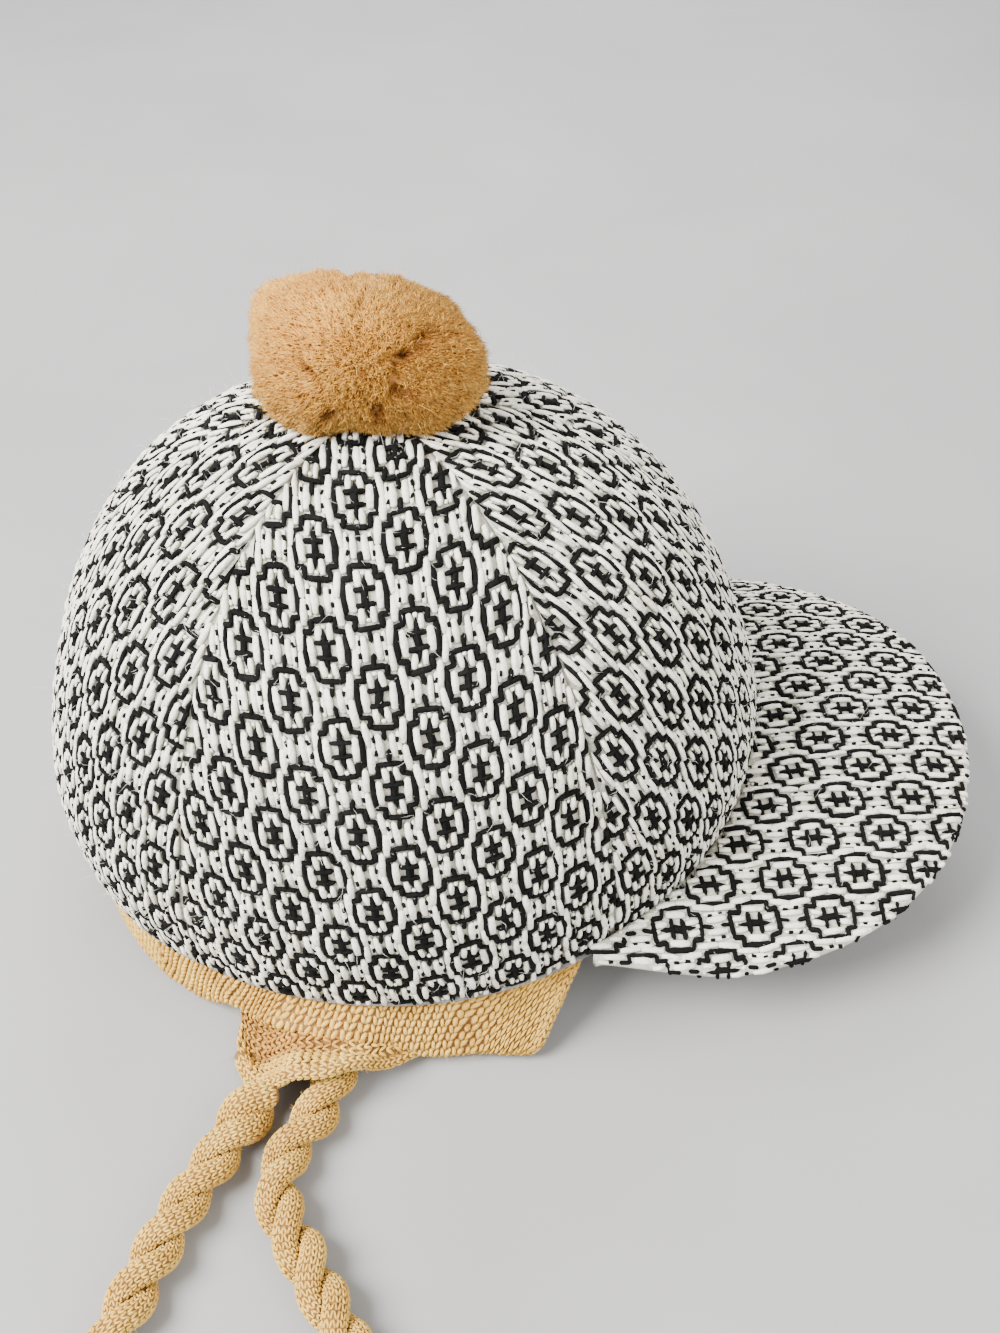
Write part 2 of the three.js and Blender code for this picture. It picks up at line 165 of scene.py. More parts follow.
# meshes
def turnOutwards(mesh):
    # makes each shell's winding agree, then flips the shells whose volume comes out below nothing
    shells = bmesh.new()
    shells.from_mesh(mesh)
    bmesh.ops.recalc_face_normals(shells, faces=shells.faces)
    shells.to_mesh(mesh)
    shells.free()
    mesh.calc_loop_triangles()
    tris = np.empty(len(mesh.loop_triangles) * 3, np.int32)
    owner = np.empty(len(mesh.loop_triangles), np.int32)
    mesh.loop_triangles.foreach_get("vertices", tris)
    mesh.loop_triangles.foreach_get("polygon_index", owner)
    place = np.empty(len(mesh.vertices) * 3)
    mesh.vertices.foreach_get("co", place)
    tris, place = tris.reshape(-1, 3), place.reshape(-1, 3) / mm
    shell, before = np.arange(len(place)), None
    while before is None or (shell != before).any():
        before = shell.copy()
        lowest = shell[tris].min(1)
        for k in range(3):
            np.minimum.at(shell, tris[:, k], lowest)
        shell = shell[shell]
    own = shell[tris[:, 0]]
    a, b, c = (place[tris[:, k]] - place[own] for k in range(3))
    volume = np.bincount(own, weights=(a * np.cross(b, c)).sum(1), minlength=len(place))
    for k in np.unique(owner[volume[own] < 0]):
        mesh.polygons[int(k)].flip()


def addObject(name, verts, faces, materials, slots=None):
    mesh = bpy.data.meshes.new(name)
    place = (np.asarray(verts, float) - capMiddle) * mm
    mesh.from_pydata(place.tolist(), [], faces)
    for material in materials:
        mesh.materials.append(material)
    if slots is not None:
        mesh.polygons.foreach_set("material_index", np.asarray(slots, np.int32))
    mesh.polygons.foreach_set("use_smooth", np.ones(len(faces), bool))
    mesh.validate()
    if faces:
        turnOutwards(mesh)
    mesh.update()
    thing = bpy.data.objects.new(name, mesh)
    bpy.context.collection.objects.link(thing)
    return thing


def dress(piece, node, slot):
    # every piece of the cap rides on its one body and stands for a node of the frame
    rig.ride(piece, "root")
    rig.replaces(piece, node)
    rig.slot(piece, slot)


class Heap:
    # parts of one mesh, gathered before it is made
    def __init__(self):
        self.verts, self.faces, self.slots, self.count = [], [], [], 0

    def cover(self, faces, slot):
        # faces over points that are already there
        faces = np.asarray(faces, int).tolist()
        self.faces.extend(faces)
        self.slots.extend([slot] * len(faces))

    def add(self, verts, faces, slot=0):
        verts = np.asarray(verts, float).reshape(-1, 3)
        self.cover(np.asarray(faces, int) + self.count, slot)
        self.verts.append(verts)
        self.count += len(verts)

    def done(self, name, materials):
        return addObject(name, np.concatenate(self.verts), self.faces, materials, self.slots)


def unit(v):
    return v / np.linalg.norm(v, axis=-1, keepdims=True)


def runAlong(points):
    return np.concatenate([[0], np.cumsum(np.linalg.norm(np.diff(points, axis=0), axis=1))])


def levelFrame(line):
    # a line's own direction, level across it and upwards from it
    ahead = unit(line)
    side = unit(np.cross([0.0, 0.0, 1.0], ahead))
    return ahead, side, np.cross(ahead, side)


def loft(rings):
    rings = np.asarray(rings, float)
    rows, ring = rings.shape[:2]
    r = np.arange(rows - 1)[:, None]
    c = np.arange(ring)[None, :]
    n = (c + 1) % ring
    quads = np.stack([r * ring + c, r * ring + n, (r + 1) * ring + n, (r + 1) * ring + c], -1)
    return rings.reshape(-1, 3), quads.reshape(-1, 4)


def capStrip(rows, half, last):
    # closes the end of a loft whose ring is a face row followed by its back row reversed
    ring = 2 * half
    base = (rows - 1) * ring if last else 0
    c = np.arange(half - 1)
    a, b = base + c, base + c + 1
    d, e = base + ring - 1 - c, base + ring - 2 - c
    return np.stack([a, b, e, d] if last else [b, a, d, e], -1)


def slab(face, back, heap, slot):
    rings = np.concatenate([face, back[:, ::-1]], 1)
    verts, quads = loft(rings)
    rows, half = face.shape[:2]
    ends = [capStrip(rows, half, last) for last in (False, True)]
    heap.add(verts, np.concatenate([quads] + ends), slot)


def normals(grid):
    down = np.gradient(grid, axis=0)
    side = np.gradient(grid, axis=1)
    n = np.cross(side, down)
    return n / np.maximum(np.linalg.norm(n, axis=-1, keepdims=True), 1e-9)


class Patch:
    # a piece of cloth: a grid of points, measured in mm along its rows and down its columns
    def __init__(self, grid):
        self.grid = np.asarray(grid, float)
        self.n = normals(self.grid)
        rows, columns = self.grid.shape[:2]
        self.down = runAlong(self.grid[:, columns // 2])
        across = np.linalg.norm(np.diff(self.grid, axis=1), axis=2)
        side = np.concatenate([np.zeros((rows, 1)), np.cumsum(across, axis=1)], 1)
        self.side = side - side[:, columns // 2:columns // 2 + 1]
        self.low, self.high = self.side[:, 0], self.side[:, -1]
        self.length = self.down[-1]

    def face(self, row, column, way):
        # the cloth's outer side is the one that looks along way at one of its points
        if (self.n[row, column] * way).sum() < 0:
            self.n = -self.n

    def reach(self, l):
        r = np.interp(l, self.down, np.arange(len(self.down)))
        rows = np.arange(len(self.low))
        return np.interp(r, rows, self.low), np.interp(r, rows, self.high)

    def place(self, s, l, h):
        rows, columns = self.grid.shape[:2]
        r = np.interp(l, self.down, np.arange(rows))
        low, high = self.reach(l)
        c = np.clip((s - low) / (high - low), 0, 1) * (columns - 1)
        r0 = np.clip(r.astype(int), 0, rows - 2)
        c0 = np.clip(c.astype(int), 0, columns - 2)
        fr, fc = (r - r0)[..., None], (c - c0)[..., None]

        def blend(a):
            return (a[r0, c0] * (1 - fr) * (1 - fc) + a[r0 + 1, c0] * fr * (1 - fc)
                    + a[r0, c0 + 1] * (1 - fr) * fc + a[r0 + 1, c0 + 1] * fr * fc)
        return blend(self.grid) + blend(self.n) * h[..., None]


# the rings of a stitch: how far along its half length each stands, and its fullness there
stitchRings = {2: [(-0.62, 0.92), (0.62, 0.92)], 3: [(-0.8, 0.8), (0.0, 1.0), (0.8, 0.8)]}


def grains(where, length, width, height, turn, rings=3, sides=5, sink=0.3, seat=0.0):
    # blunt stitches: one closed half-round body for each row of the arrays
    angle = np.linspace(math.pi, 0, sides)
    shape = [(-1.0, 0.0, -sink)]
    for along, full in stitchRings[rings]:
        droop = -sink * along * along * 0.6
        shape += [(along, full * math.cos(a), full * math.sin(a) + droop) for a in angle]
    shape = np.array(shape + [(1.0, 0.0, -sink)])
    last = len(shape) - 1
    tris, quads = [], []
    for k in range(sides):
        n = (k + 1) % sides
        tris.append((0, 1 + n, 1 + k))
        tris.append((last, last - sides + k, last - sides + n))
        for r in range(1, last - sides, sides):
            quads.append((r + k, r + n, r + sides + n, r + sides + k))
    along = shape[None, :, 0] * length[:, None] / 2
    across = shape[None, :, 1] * width[:, None] / 2
    up = shape[None, :, 2] * height[:, None] + seat
    cos, sin = np.cos(turn)[:, None], np.sin(turn)[:, None]
    s = where[:, 0:1] + across * cos + along * sin
    l = where[:, 1:2] - across * sin + along * cos
    step = (np.arange(len(where)) * len(shape))[:, None, None]
    return s, l, up, (np.array(tris) + step).reshape(-1, 3), (np.array(quads) + step).reshape(-1, 4)


def sew(heap, place, stitches, slot):
    s, l, up, tris, quads = stitches
    start = heap.count
    heap.add(place(s, l, up), tris, slot)
    heap.cover(quads + start, slot)


# loose hairs, in mm: their thickness and least length, the height below which none is rooted,
# and the floor that they lie on
hair = {"thick": 0.045, "least": 0.3, "rootOver": 0.5, "floor": 0.1}


def fuzz(heap, root, out, slot, long=1.5, most=5.5):
    # fine three-sided hairs that bend in the middle and run to a point
    n = len(root)
    way = unit(out * 0.55 + rng.normal(0, 0.5, (n, 3)))
    length = np.minimum(rng.exponential(long, n) + 0.5, most)[:, None]
    middle = root + way * length * 0.55
    tips = root + way * length + rng.normal(0, 0.22, (n, 3)) * length
    # hairs lie on the floor, not in it
    middle[:, 2] = np.maximum(middle[:, 2], hair["floor"] + 0.02)
    tips[:, 2] = np.maximum(tips[:, 2], hair["floor"])
    clear = (root[:, 2] > hair["rootOver"]) & (np.linalg.norm(tips - root, axis=1) > hair["least"])
    root, middle, tips = root[clear], middle[clear], tips[clear]
    axis = unit(tips - root)
    side = unit(np.cross(axis, rng.normal(0, 1, axis.shape)))
    other = np.cross(axis, side)
    corners = [(math.cos(a) * side + math.sin(a) * other) * hair["thick"] for a in (0.0, 2.094, 4.189)]
    rings = [np.stack([at + corner for corner in corners], 1) for at in (root, middle)]
    faces = [(0, 2, 1)]
    for k, n in ((0, 1), (1, 2), (2, 0)):
        faces += [(k, n, 3 + n), (k, 3 + n, 3 + k), (3 + k, 3 + n, 6)]
    verts = np.concatenate(rings + [tips[:, None]], 1)
    heap.add(verts, (np.array(faces) + (np.arange(len(root)) * 7)[:, None, None]).reshape(-1, 3), slot)


def fuzzOver(heap, patch, count, slot):
    l = rng.uniform(0.5, patch.length - 0.5, count)
    low, wide = patch.reach(l)
    s = low + (wide - low) * rng.uniform(0.01, 0.99, count)
    root = patch.place(s, l, np.full(count, 0.5))
    fuzz(heap, root, patch.place(s, l, np.full(count, 1.5)) - root, slot)


# materials
class Wire:
    # a socket in an expression: each operator adds its Math node
    def __init__(self, tree, socket):
        self.tree, self.socket = tree, socket

    def math(self, operation, *terms):
        node = self.tree.nodes.new("ShaderNodeMath")
        node.operation = operation
        for k, value in enumerate(terms):
            if isinstance(value, Wire):
                self.tree.links.new(value.socket, node.inputs[k])
            else:
                node.inputs[k].default_value = value
        return Wire(self.tree, node.outputs[0])

    def __add__(self, other):
        return self.math("ADD", self, other)

    def __radd__(self, other):
        return self.math("ADD", other, self)

    def __sub__(self, other):
        return self.math("SUBTRACT", self, other)

    def __rsub__(self, other):
        return self.math("SUBTRACT", other, self)

    def __mul__(self, other):
        return self.math("MULTIPLY", self, other)

    def __rmul__(self, other):
        return self.math("MULTIPLY", other, self)


class Paint:
    def __init__(self, name):
        self.material = bpy.data.materials.new(name)
        self.material.use_nodes = True
        self.tree = self.material.node_tree
        self.shader = self.tree.nodes["Principled BSDF"]
        self.place = self.node("TexCoord", out="Object")

    def node(self, kind, out=0, inputs=None, stops=(), **settings):
        node = self.tree.nodes.new("ShaderNode" + kind)
        for key, value in settings.items():
            setattr(node, key, value)
        for k, (at, color) in enumerate(stops):
            marks = node.color_ramp.elements
            mark = marks[k] if k < len(marks) else marks.new(at)
            mark.position, mark.color = at, (*color, 1.0)
        for key, value in (inputs or {}).items():
            if isinstance(value, Wire):
                self.tree.links.new(value.socket, node.inputs[key])
            else:
                node.inputs[key].default_value = value
        return Wire(self.tree, node.outputs[out])

    def noise(self, scale, detail, rough=0.55):
        inputs = {"Vector": self.place, "Scale": scale, "Detail": detail, "Roughness": rough}
        return self.node("TexNoise", out="Fac", inputs=inputs)

    def ramp(self, value, stops):
        return self.node("ValToRGB", out="Color", inputs={"Fac": value}, stops=stops)

    def bump(self, height, distance, strength, under=None):
        inputs = {"Height": height, "Distance": distance, "Strength": strength}
        if under:
            inputs["Normal"] = under
        return self.node("Bump", out="Normal", inputs=inputs)

    def feed(self, **links):
        for key, value in links.items():
            key = {"color": "Base Color", "rough": "Roughness", "normal": "Normal"}[key]
            self.tree.links.new(value.socket, self.shader.inputs[key])


def yarnPaint(name, dark, mid, light, soft, rough=0.9, depth=False):
    grain = {"patch": 95, "fleck": 900, "lump": 780, "fibre": 2600}   # noise scales, per metre
    paint = Paint(name)
    patchy = paint.noise(grain["patch"], 4, 0.6)
    fleck = paint.noise(grain["fleck"], 3, 0.7)
    tone = patchy * 0.55 + fleck * 0.45
    if depth:
        # painted shade: darker towards the foot of each tuft and in the pits, from the depth attribute
        tone = tone * 0.45 + paint.node("Attribute", out="Fac", attribute_name="depth") * 0.55 - 0.12
    color = paint.ramp(tone, [(0.34, dark), (0.5, mid), (0.66, light)])
    fibres = paint.noise(grain["fibre"], 2, 0.6)
    under = paint.bump(paint.noise(grain["lump"], 2, 0.5), 0.0006, 0.9)
    normal = paint.bump(fibres, 0.00008, 0.7, under)
    paint.feed(color=color, rough=fleck * 0.12 + (rough - 0.06), normal=normal)
    for key, value in (("Sheen Weight", soft), ("Sheen Roughness", 0.5), ("Specular IOR Level", 0.1)):
        paint.shader.inputs[key].default_value = value
    return paint.material


# each yarn: its dark, middle and light tone, and its soft sheen
ivoryYarn = yarnPaint("ivoryYarn", (0.64, 0.61, 0.49), (0.86, 0.835, 0.725), (0.97, 0.95, 0.865), 0.2)
blackYarn = yarnPaint("blackYarn", (0.003,) * 3, (0.005,) * 3, (0.011, 0.010, 0.010), 0.0, rough=0.97)
# the cloth's backing between the floats: partly the ground yarn, partly painted shade that makes it grey-cream
groundYarn = yarnPaint("groundYarn", (0.42, 0.40, 0.33), (0.56, 0.54, 0.46), (0.68, 0.66, 0.58), 0.0)
tanYarn = yarnPaint("tanYarn", (0.48, 0.26, 0.05), (0.66, 0.41, 0.085), (0.82, 0.57, 0.15), 0.05)
# painted shade: a darker tan for the flap's stitches in the crease under the band's fold
tanFold = yarnPaint("tanFold", (0.36, 0.165, 0.033), (0.50, 0.26, 0.055), (0.64, 0.37, 0.09), 0.05)
# painted shade: a dark tan for the bare tubes and slabs that show between the stitches
tanDeep = yarnPaint("tanDeep", (0.15, 0.07, 0.018), (0.23, 0.115, 0.034), (0.32, 0.175, 0.06), 0.0)
# camelYarn reads the depth attribute as painted shade on the tufts
camelYarn = yarnPaint("camelYarn", (0.26, 0.095, 0.014), (0.56, 0.27, 0.045), (0.79, 0.455, 0.098), 0.05,
                      depth=True)
# painted shade: the dark camel of the pompom's core, seen in the gaps between the tufts
camelDeep = yarnPaint("camelDeep", (0.24, 0.09, 0.02), (0.36, 0.16, 0.042), (0.46, 0.22, 0.065), 0.0)
# painted shade: the grey of the tube that stands for the shadow line along the crown's hem
greyBinding = yarnPaint("greyBinding", (0.13, 0.125, 0.12), (0.22, 0.215, 0.20), (0.33, 0.32, 0.30), 0.1)
fluff = yarnPaint("fluff", (0.62, 0.60, 0.54), (0.74, 0.72, 0.66), (0.86, 0.84, 0.79), 0.3)


def floorPaint():
    paint = Paint("paleFloor")
    paint.feed(color=paint.ramp(paint.noise(6, 3), [(0.3, (0.29, 0.29, 0.292)), (0.7, (0.33, 0.33, 0.331))]),
               rough=paint.noise(30, 2) * 0.1 + 0.6)
    return paint.material


# camera, light and floor
def setStage():
    view = {"at": (-36.4, -278.4, 339.4), "pitch": 43.9, "turn": -6.0, "lens": 37.81}
    data = bpy.data.cameras.new("camera")
    data.sensor_fit, data.sensor_height, data.lens = "VERTICAL", 36.0, view["lens"]
    camera = bpy.data.objects.new("camera", data)
    camera.location = Vector(view["at"]) * mm
    camera.rotation_euler = (math.radians(90 - view["pitch"]), 0, math.radians(view["turn"]))
    bpy.context.collection.objects.link(camera)
    bpy.context.scene.camera = camera

    lookAt = Vector((0, 0, 0.08))
    lamps = [
        # name, place in metres, size, watts, colour
        ("window", (-0.75, -0.25, 0.85), 0.7, 50.0, (1.0, 0.985, 0.955)),
        ("fill", (0.7, -0.7, 0.7), 1.0, 15.0, (1.0, 0.97, 0.93)),
        ("back", (0.1, 0.9, 0.8), 0.8, 14.0, (0.97, 0.98, 1.0)),
    ]
    for name, at, size, power, color in lamps:
        light = bpy.data.lights.new(name, "AREA")
        light.shape, light.size = "DISK", size
        light.energy, light.color = power, color
        thing = bpy.data.objects.new(name, light)
        thing.location = at
        thing.rotation_euler = (lookAt - Vector(at)).to_track_quat("-Z", "Y").to_euler()
        bpy.context.collection.objects.link(thing)
    world = bpy.data.worlds.new("studio")
    world.use_nodes = True
    sky = world.node_tree.nodes["Background"].inputs
    sky["Color"].default_value, sky["Strength"].default_value = (0.92, 0.925, 0.92, 1), 0.88
    bpy.context.scene.world = world

    mesh = bpy.data.meshes.new("floor")
    k = 3.0
    mesh.from_pydata([(-k, -k, 0), (k, -k, 0), (k, k, 0), (-k, k, 0)], [], [(0, 1, 2, 3)])
    mesh.materials.append(floorPaint())
    floor = bpy.data.objects.new("floor", mesh)
    bpy.context.collection.objects.link(floor)
    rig.stage(floor)


setStage()
print("stage set")


# tie cords: two knitted plies laid round each other
cordWidth = 12.0
nearRoute = [(-45.1, -91.5), (-53.4, -102.5), (-59.2, -111.8), (-64.5, -119.6), (-69, -128.1),
             (-72.7, -135.6), (-76.2, -143.2), (-78.9, -149.4), (-83.5, -160.5), (-87.8, -171)]
farRoute = [(-31.5, 45), (-30.5, 27), (-27.5, 0), (-24, -30), (-22.6, -56), (-24.2, -74), (-27, -88),
            (-31.6, -98.4), (-37.2, -106.1), (-41.1, -113.7), (-41.6, -120.7), (-38.6, -129.8),
            (-34.8, -137.2), (-31.8, -144.2), (-28.2, -150.7), (-24.5, -160), (-21.5, -172), (-20, -182)]


def spline(points, step):
    # centripetal Catmull-Rom, resampled to even steps
    p = np.asarray(points, float)
    p = np.vstack([2 * p[0] - p[1], p, 2 * p[-1] - p[-2]])
    out = []
    for i in range(1, len(p) - 2):
        a, b, c, d = p[i - 1:i + 3]
        knots = np.cumsum([0] + [np.linalg.norm(y - x) ** 0.5 for x, y in ((a, b), (b, c), (c, d))])
        t = np.linspace(knots[1], knots[2], 24, endpoint=False)[:, None]

        def between(low, high, start, stop):
            return (knots[high] - t) / (knots[high] - knots[low]) * start \
                + (t - knots[low]) / (knots[high] - knots[low]) * stop
        ab, bc, cd = between(0, 1, a, b), between(1, 2, b, c), between(2, 3, c, d)
        out.append(between(1, 2, between(0, 2, ab, bc), between(1, 3, bc, cd)))
    out = np.vstack(out + [p[-2:-1]])
    run = runAlong(out)
    even = np.linspace(0, run[-1], max(2, int(round(run[-1] / step)) + 1))
    return np.stack([np.interp(even, run, out[:, k]) for k in range(out.shape[1])], 1), run[-1]


def plyTube(centre, radius, sides):
    side, lift = levelFrame(np.gradient(centre, axis=0))[1:]
    angle = np.linspace(0, 2 * np.pi, sides, endpoint=False)[None, :, None]
    ring = np.cos(angle) * side[:, None] + np.sin(angle) * lift[:, None]
    return centre[:, None] + ring * np.reshape(radius, (-1, 1, 1))


def roundEnds(rings, centre, heap, slot):
    # a tube whose two ends are closed to a point
    verts, quads = loft(rings)
    count, sides = rings.shape[:2]
    start, top, tip = heap.count, (count - 1) * sides, count * sides
    heap.add(np.vstack([verts, centre[:1], centre[-1:]]), quads, slot)
    fans = [((k + 1) % sides, k, tip) for k in range(sides)]
    fans += [(top + k, top + (k + 1) % sides, tip + 1) for k in range(sides)]
    heap.cover(np.array(fans) + start, slot)


def knitPly(heap, centre, core, radius, stitched, wale=1.55, course=1.4, high=0.42):
    # one knitted tube: its stitches point along it, and core is the line that it lies against
    facts = {"sides": 12, "floor": 0.05, "lean": 0.38, "buried": 0.62, "clear": 0.75, "hairs": 1.4}
    radii = np.broadcast_to(np.asarray(radius, float), (len(centre),)).copy()
    rings = plyTube(centre, radii, facts["sides"])
    rings[..., 2] = np.maximum(rings[..., 2], facts["floor"])
    # the bare tube takes slot 1, a dark tan painted as the shade between the stitches
    roundEnds(rings, centre, heap, 1)
    run, nominal = runAlong(centre), radii.mean()
    count = int(round(2 * np.pi * nominal / wale))
    rows = np.arange(stitched[0] * run[-1] + course, stitched[1] * run[-1] - course, course)
    angle, at = np.meshgrid(np.arange(count) * 2 * np.pi / count, rows)
    angle, at = angle.ravel(), at.ravel()

    def place(s, l, h):
        k = np.interp(l, run, np.arange(len(run)))
        k0 = np.clip(k.astype(int), 0, len(run) - 2)
        f = (k - k0)[..., None]
        side, lift = levelFrame(centre[k0 + 1] - centre[k0])[1:]
        a = (s / nominal)[..., None]
        out = np.cos(a) * side + np.sin(a) * lift
        return centre[k0] * (1 - f) + centre[k0 + 1] * f + out * (np.interp(l, run, radii) + h)[..., None]

    # stitches buried in the other ply or pressed on the floor are left out
    here = place(angle * nominal, at, np.zeros_like(at))
    k = np.clip(np.interp(at, run, np.arange(len(run))).round().astype(int), 0, len(run) - 1)
    apart = centre[k] - core[k]
    away = ((here - centre[k]) * apart).sum(1)
    keep = (away > -facts["buried"] * radii[k] * np.linalg.norm(apart, axis=1)) & (here[:, 2] > facts["clear"])
    angle, at = angle[keep], at[keep]
    n = len(at)
    for lean in (-1, 1):
        where = np.stack([angle * nominal + lean * wale * 0.25, at + rng.normal(0, 0.04, n)], 1)
        size = [np.full(n, course * 1.24), np.full(n, wale * 0.42), high * (1 + rng.normal(0, 0.1, n))]
        turn = np.full(n, lean * facts["lean"]) + rng.normal(0, 0.06, n)
        sew(heap, place, grains(where, *size, turn, rings=2, sides=4, sink=0.35, seat=0.02), 0)
    hairy = rng.integers(0, n, int(run[-1] * facts["hairs"]))
    spot = angle[hairy] * nominal, at[hairy]
    root = place(*spot, np.full(len(hairy), 0.1))
    fuzz(heap, root, place(*spot, np.full(len(hairy), 1.1)) - root, 0, 0.9, 2.3)


def tieCord(name, route, stitchedFrom, node):
    facts = {"pitch": 25.0, "ply": 2.95, "lay": 2.8, "turned": 0.6, "fuller": 1.0, "fullAt": 6.5,
             "fullFor": 6.0}
    path, length = spline([(x, y, cordWidth / 2) for x, y in route], 0.9)
    side, lift = levelFrame(np.gradient(path, axis=0))[1:]
    run = np.linspace(0, length, len(path))
    # the folded start is fuller than the rest
    radius = facts["ply"] + facts["fuller"] * np.exp(-((run - facts["fullAt"]) / facts["fullFor"]) ** 2)
    heap = Heap()
    for ply in range(2):
        angle = (2 * np.pi * run / facts["pitch"] + ply * np.pi + facts["turned"])[:, None]
        loose = facts["lay"] * (1 + 0.05 * np.sin(run / 7.0 + ply))
        centre = path + (np.cos(angle) * side + np.sin(angle) * lift) * loose[:, None]
        knitPly(heap, centre, path, radius, (stitchedFrom, 1.0))
    cord = heap.done(name, [tanYarn, tanDeep])
    dress(cord, node, "tan_knit")
    points = [tuple((p - capMiddle) * mm) for p in [*path[::5], path[-1]]]
    return cord, points, length * mm, path


def tieKnot(name, node, path):
    # an overhand knot in the cord's own two plies
    facts = {"wide": 4.6, "long": 4.65, "ahead": 8.6, "high": 8.1, "over": 3.6, "ply": 2.6, "lay": 1.5,
             "lowest": 2.75, "twists": 6}
    ahead, side, up = levelFrame(path[-1] - path[-8])
    t = np.append(np.linspace(0, 2 * np.pi, 90, endpoint=False), 0)[:, None]
    x = facts["ahead"] + facts["long"] * np.sin(t) + 0.9 * np.sin(2 * t)
    y = facts["wide"] * np.cos(t) * (1 + 0.18 * np.cos(3 * t))
    z = facts["high"] + facts["over"] * np.sin(2 * t + 0.5)
    centre = path[-1] * [1, 1, 0] + x * ahead + y * side + z * up
    heap = Heap()
    for ply in range(2):
        twist = facts["twists"] * t + ply * np.pi
        wander = centre + (np.cos(twist) * side + np.sin(twist) * up) * facts["lay"]
        wander[:, 2] = np.maximum(wander[:, 2], facts["lowest"])
        knitPly(heap, wander, centre, facts["ply"], (0.0, 1.0))
    knot = heap.done(name, [tanYarn, tanDeep])
    dress(knot, node, "tan_knit")
    return knot


nearCord, nearPoints, nearLength, nearPath = tieCord("tie_cord_right_knit", nearRoute, 0.0, "tie_cord_right")
farCord, farPoints, farLength, farPath = tieCord("tie_cord_left_knit", farRoute, 0.45, "tie_cord_left")
nearKnot = tieKnot("tie_knot_right_knit", "tie_knot_right", nearPath)
farKnot = tieKnot("tie_knot_left_knit", "tie_knot_left", farPath)
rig.cord(nearCord, exit=nearPoints[0], length=nearLength, diameter=cordWidth * mm, far_end="knot",
        stiffness="limp", lay="loose", path=nearPoints, with_pieces=[nearKnot])
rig.cord(farCord, exit=farPoints[0], length=farLength, diameter=cordWidth * mm, far_end="knot",
        stiffness="limp", lay="loose", path=farPoints, with_pieces=[farKnot])
print("cords laid", round(nearLength, 3), round(farLength, 3))


# crown
rim = {"long": 98.0, "wide": 82.0, "high": 25.0, "crown": 131.0, "lean": 4.0, "rise": 14.0, "full": 1.6,
       "wall": 2.8}
profileUp = np.array([0, 0.1, 0.22, 0.36, 0.5, 0.63, 0.75, 0.85, 0.925, 0.975, 1.0])
profileOut = np.array([0.985, 1.0, 0.995, 0.955, 0.895, 0.815, 0.71, 0.585, 0.44, 0.27, 5.0 / rim["long"]])


def hermite(x, xs, ys):
    slope = np.empty(len(xs))
    slope[1:-1] = (ys[2:] - ys[:-2]) / (xs[2:] - xs[:-2])
    slope[0] = (ys[1] - ys[0]) / (xs[1] - xs[0])
    slope[-1] = (ys[-1] - ys[-2]) / (xs[-1] - xs[-2])
    i = np.clip(np.searchsorted(xs, x, side="right") - 1, 0, len(xs) - 2)
    span = xs[i + 1] - xs[i]
    t = np.clip((x - xs[i]) / span, 0, 1)
    return ((2 * t ** 3 - 3 * t ** 2 + 1) * ys[i] + (t ** 3 - 2 * t ** 2 + t) * span * slope[i]
            + (3 * t ** 2 - 2 * t ** 3) * ys[i + 1] + (t ** 3 - t ** 2) * span * slope[i + 1])


def hemHeight(angle):
    return rim["high"] + rim["rise"] * np.maximum(0, np.cos(np.radians(angle))) ** 2


def crownPoint(angle, up, across):
    out = hermite(up, profileUp, profileOut)
    fade = np.sin(np.pi * np.minimum(1, 0.2 + up * 0.75))
    full = rim["full"] * 4 * across * (1 - across) * fade
    a = np.radians(angle)
    hem = hemHeight(angle)
    top = rim["high"] + rim["crown"]
    return np.stack([-rim["lean"] * up + (rim["long"] * out + full) * np.cos(a),
                     (rim["wide"] * out + full) * np.sin(a), hem + (top - hem) * up + full * up], -1)


# One rosette of the cloth, in columns and picks from its middle: it repeats every 14 columns and every
# 16 picks, and the next column of rosettes stands 8 picks lower. Each stroke is also turned over across
# and along, as named.
repeat = {"columns": 7, "picks": 8}
blackStrokes = [
    # column, pick, to column, to pick, thick, high, turned
    (-1.75, 4.9, 1.75, 4.9, 1.65, 0.68, "along"),
    (1.98, 4.85, 1.98, 3.1, 1.50, 0.68, "both"),
    (1.9, 2.95, 3.3, 2.85, 1.50, 0.66, "both"),
    (3.35, -2.8, 3.35, 2.8, 1.60, 0.70, "across"),
    (0.0, -3.3, 0.0, 3.3, 1.40, 0.84, "once"),
    (-1.75, 1.2, 1.75, 1.2, 1.45, 0.98, "along"),
    (0.0, -1.2, 0.0, 1.2, 2.10, 0.80, "once"),
    (0.0, 5.2, 0.0, 7.0, 1.30, 0.72, "along"),
    (1.9, 6.55, 1.9, 7.2, 1.10, 0.94, "both"),
]
whiteStrokes = [
    (2.25, -2.15, 2.25, 2.15, 1.95, 0.85, "across"),
    (0.92, 4.2, 0.88, 1.8, 1.55, 0.80, "both"),
    (0.0, 4.15, 0.0, 3.7, 1.10, 0.55, "along"),
    (1.02, 5.9, 1.02, 10.1, 1.85, 0.88, "across"),
    (1.92, 5.5, 1.92, 10.5, 1.20, 0.52, "across"),
    (3.1, 3.65, 2.76, 8.05, 1.85, 0.85, "across"),
    (2.76, 7.95, 3.1, 12.35, 1.85, 0.85, "across"),
]


def turned(table):
    out = []
    for column, pick, toColumn, toPick, thick, high, way in table:
        for a in ((1, -1) if way in ("across", "both") else (1,)):
            for b in ((1, -1) if way in ("along", "both") else (1,)):
                out.append((a * column, b * pick, a * toColumn, b * toPick, thick, high))
    return np.array(out)


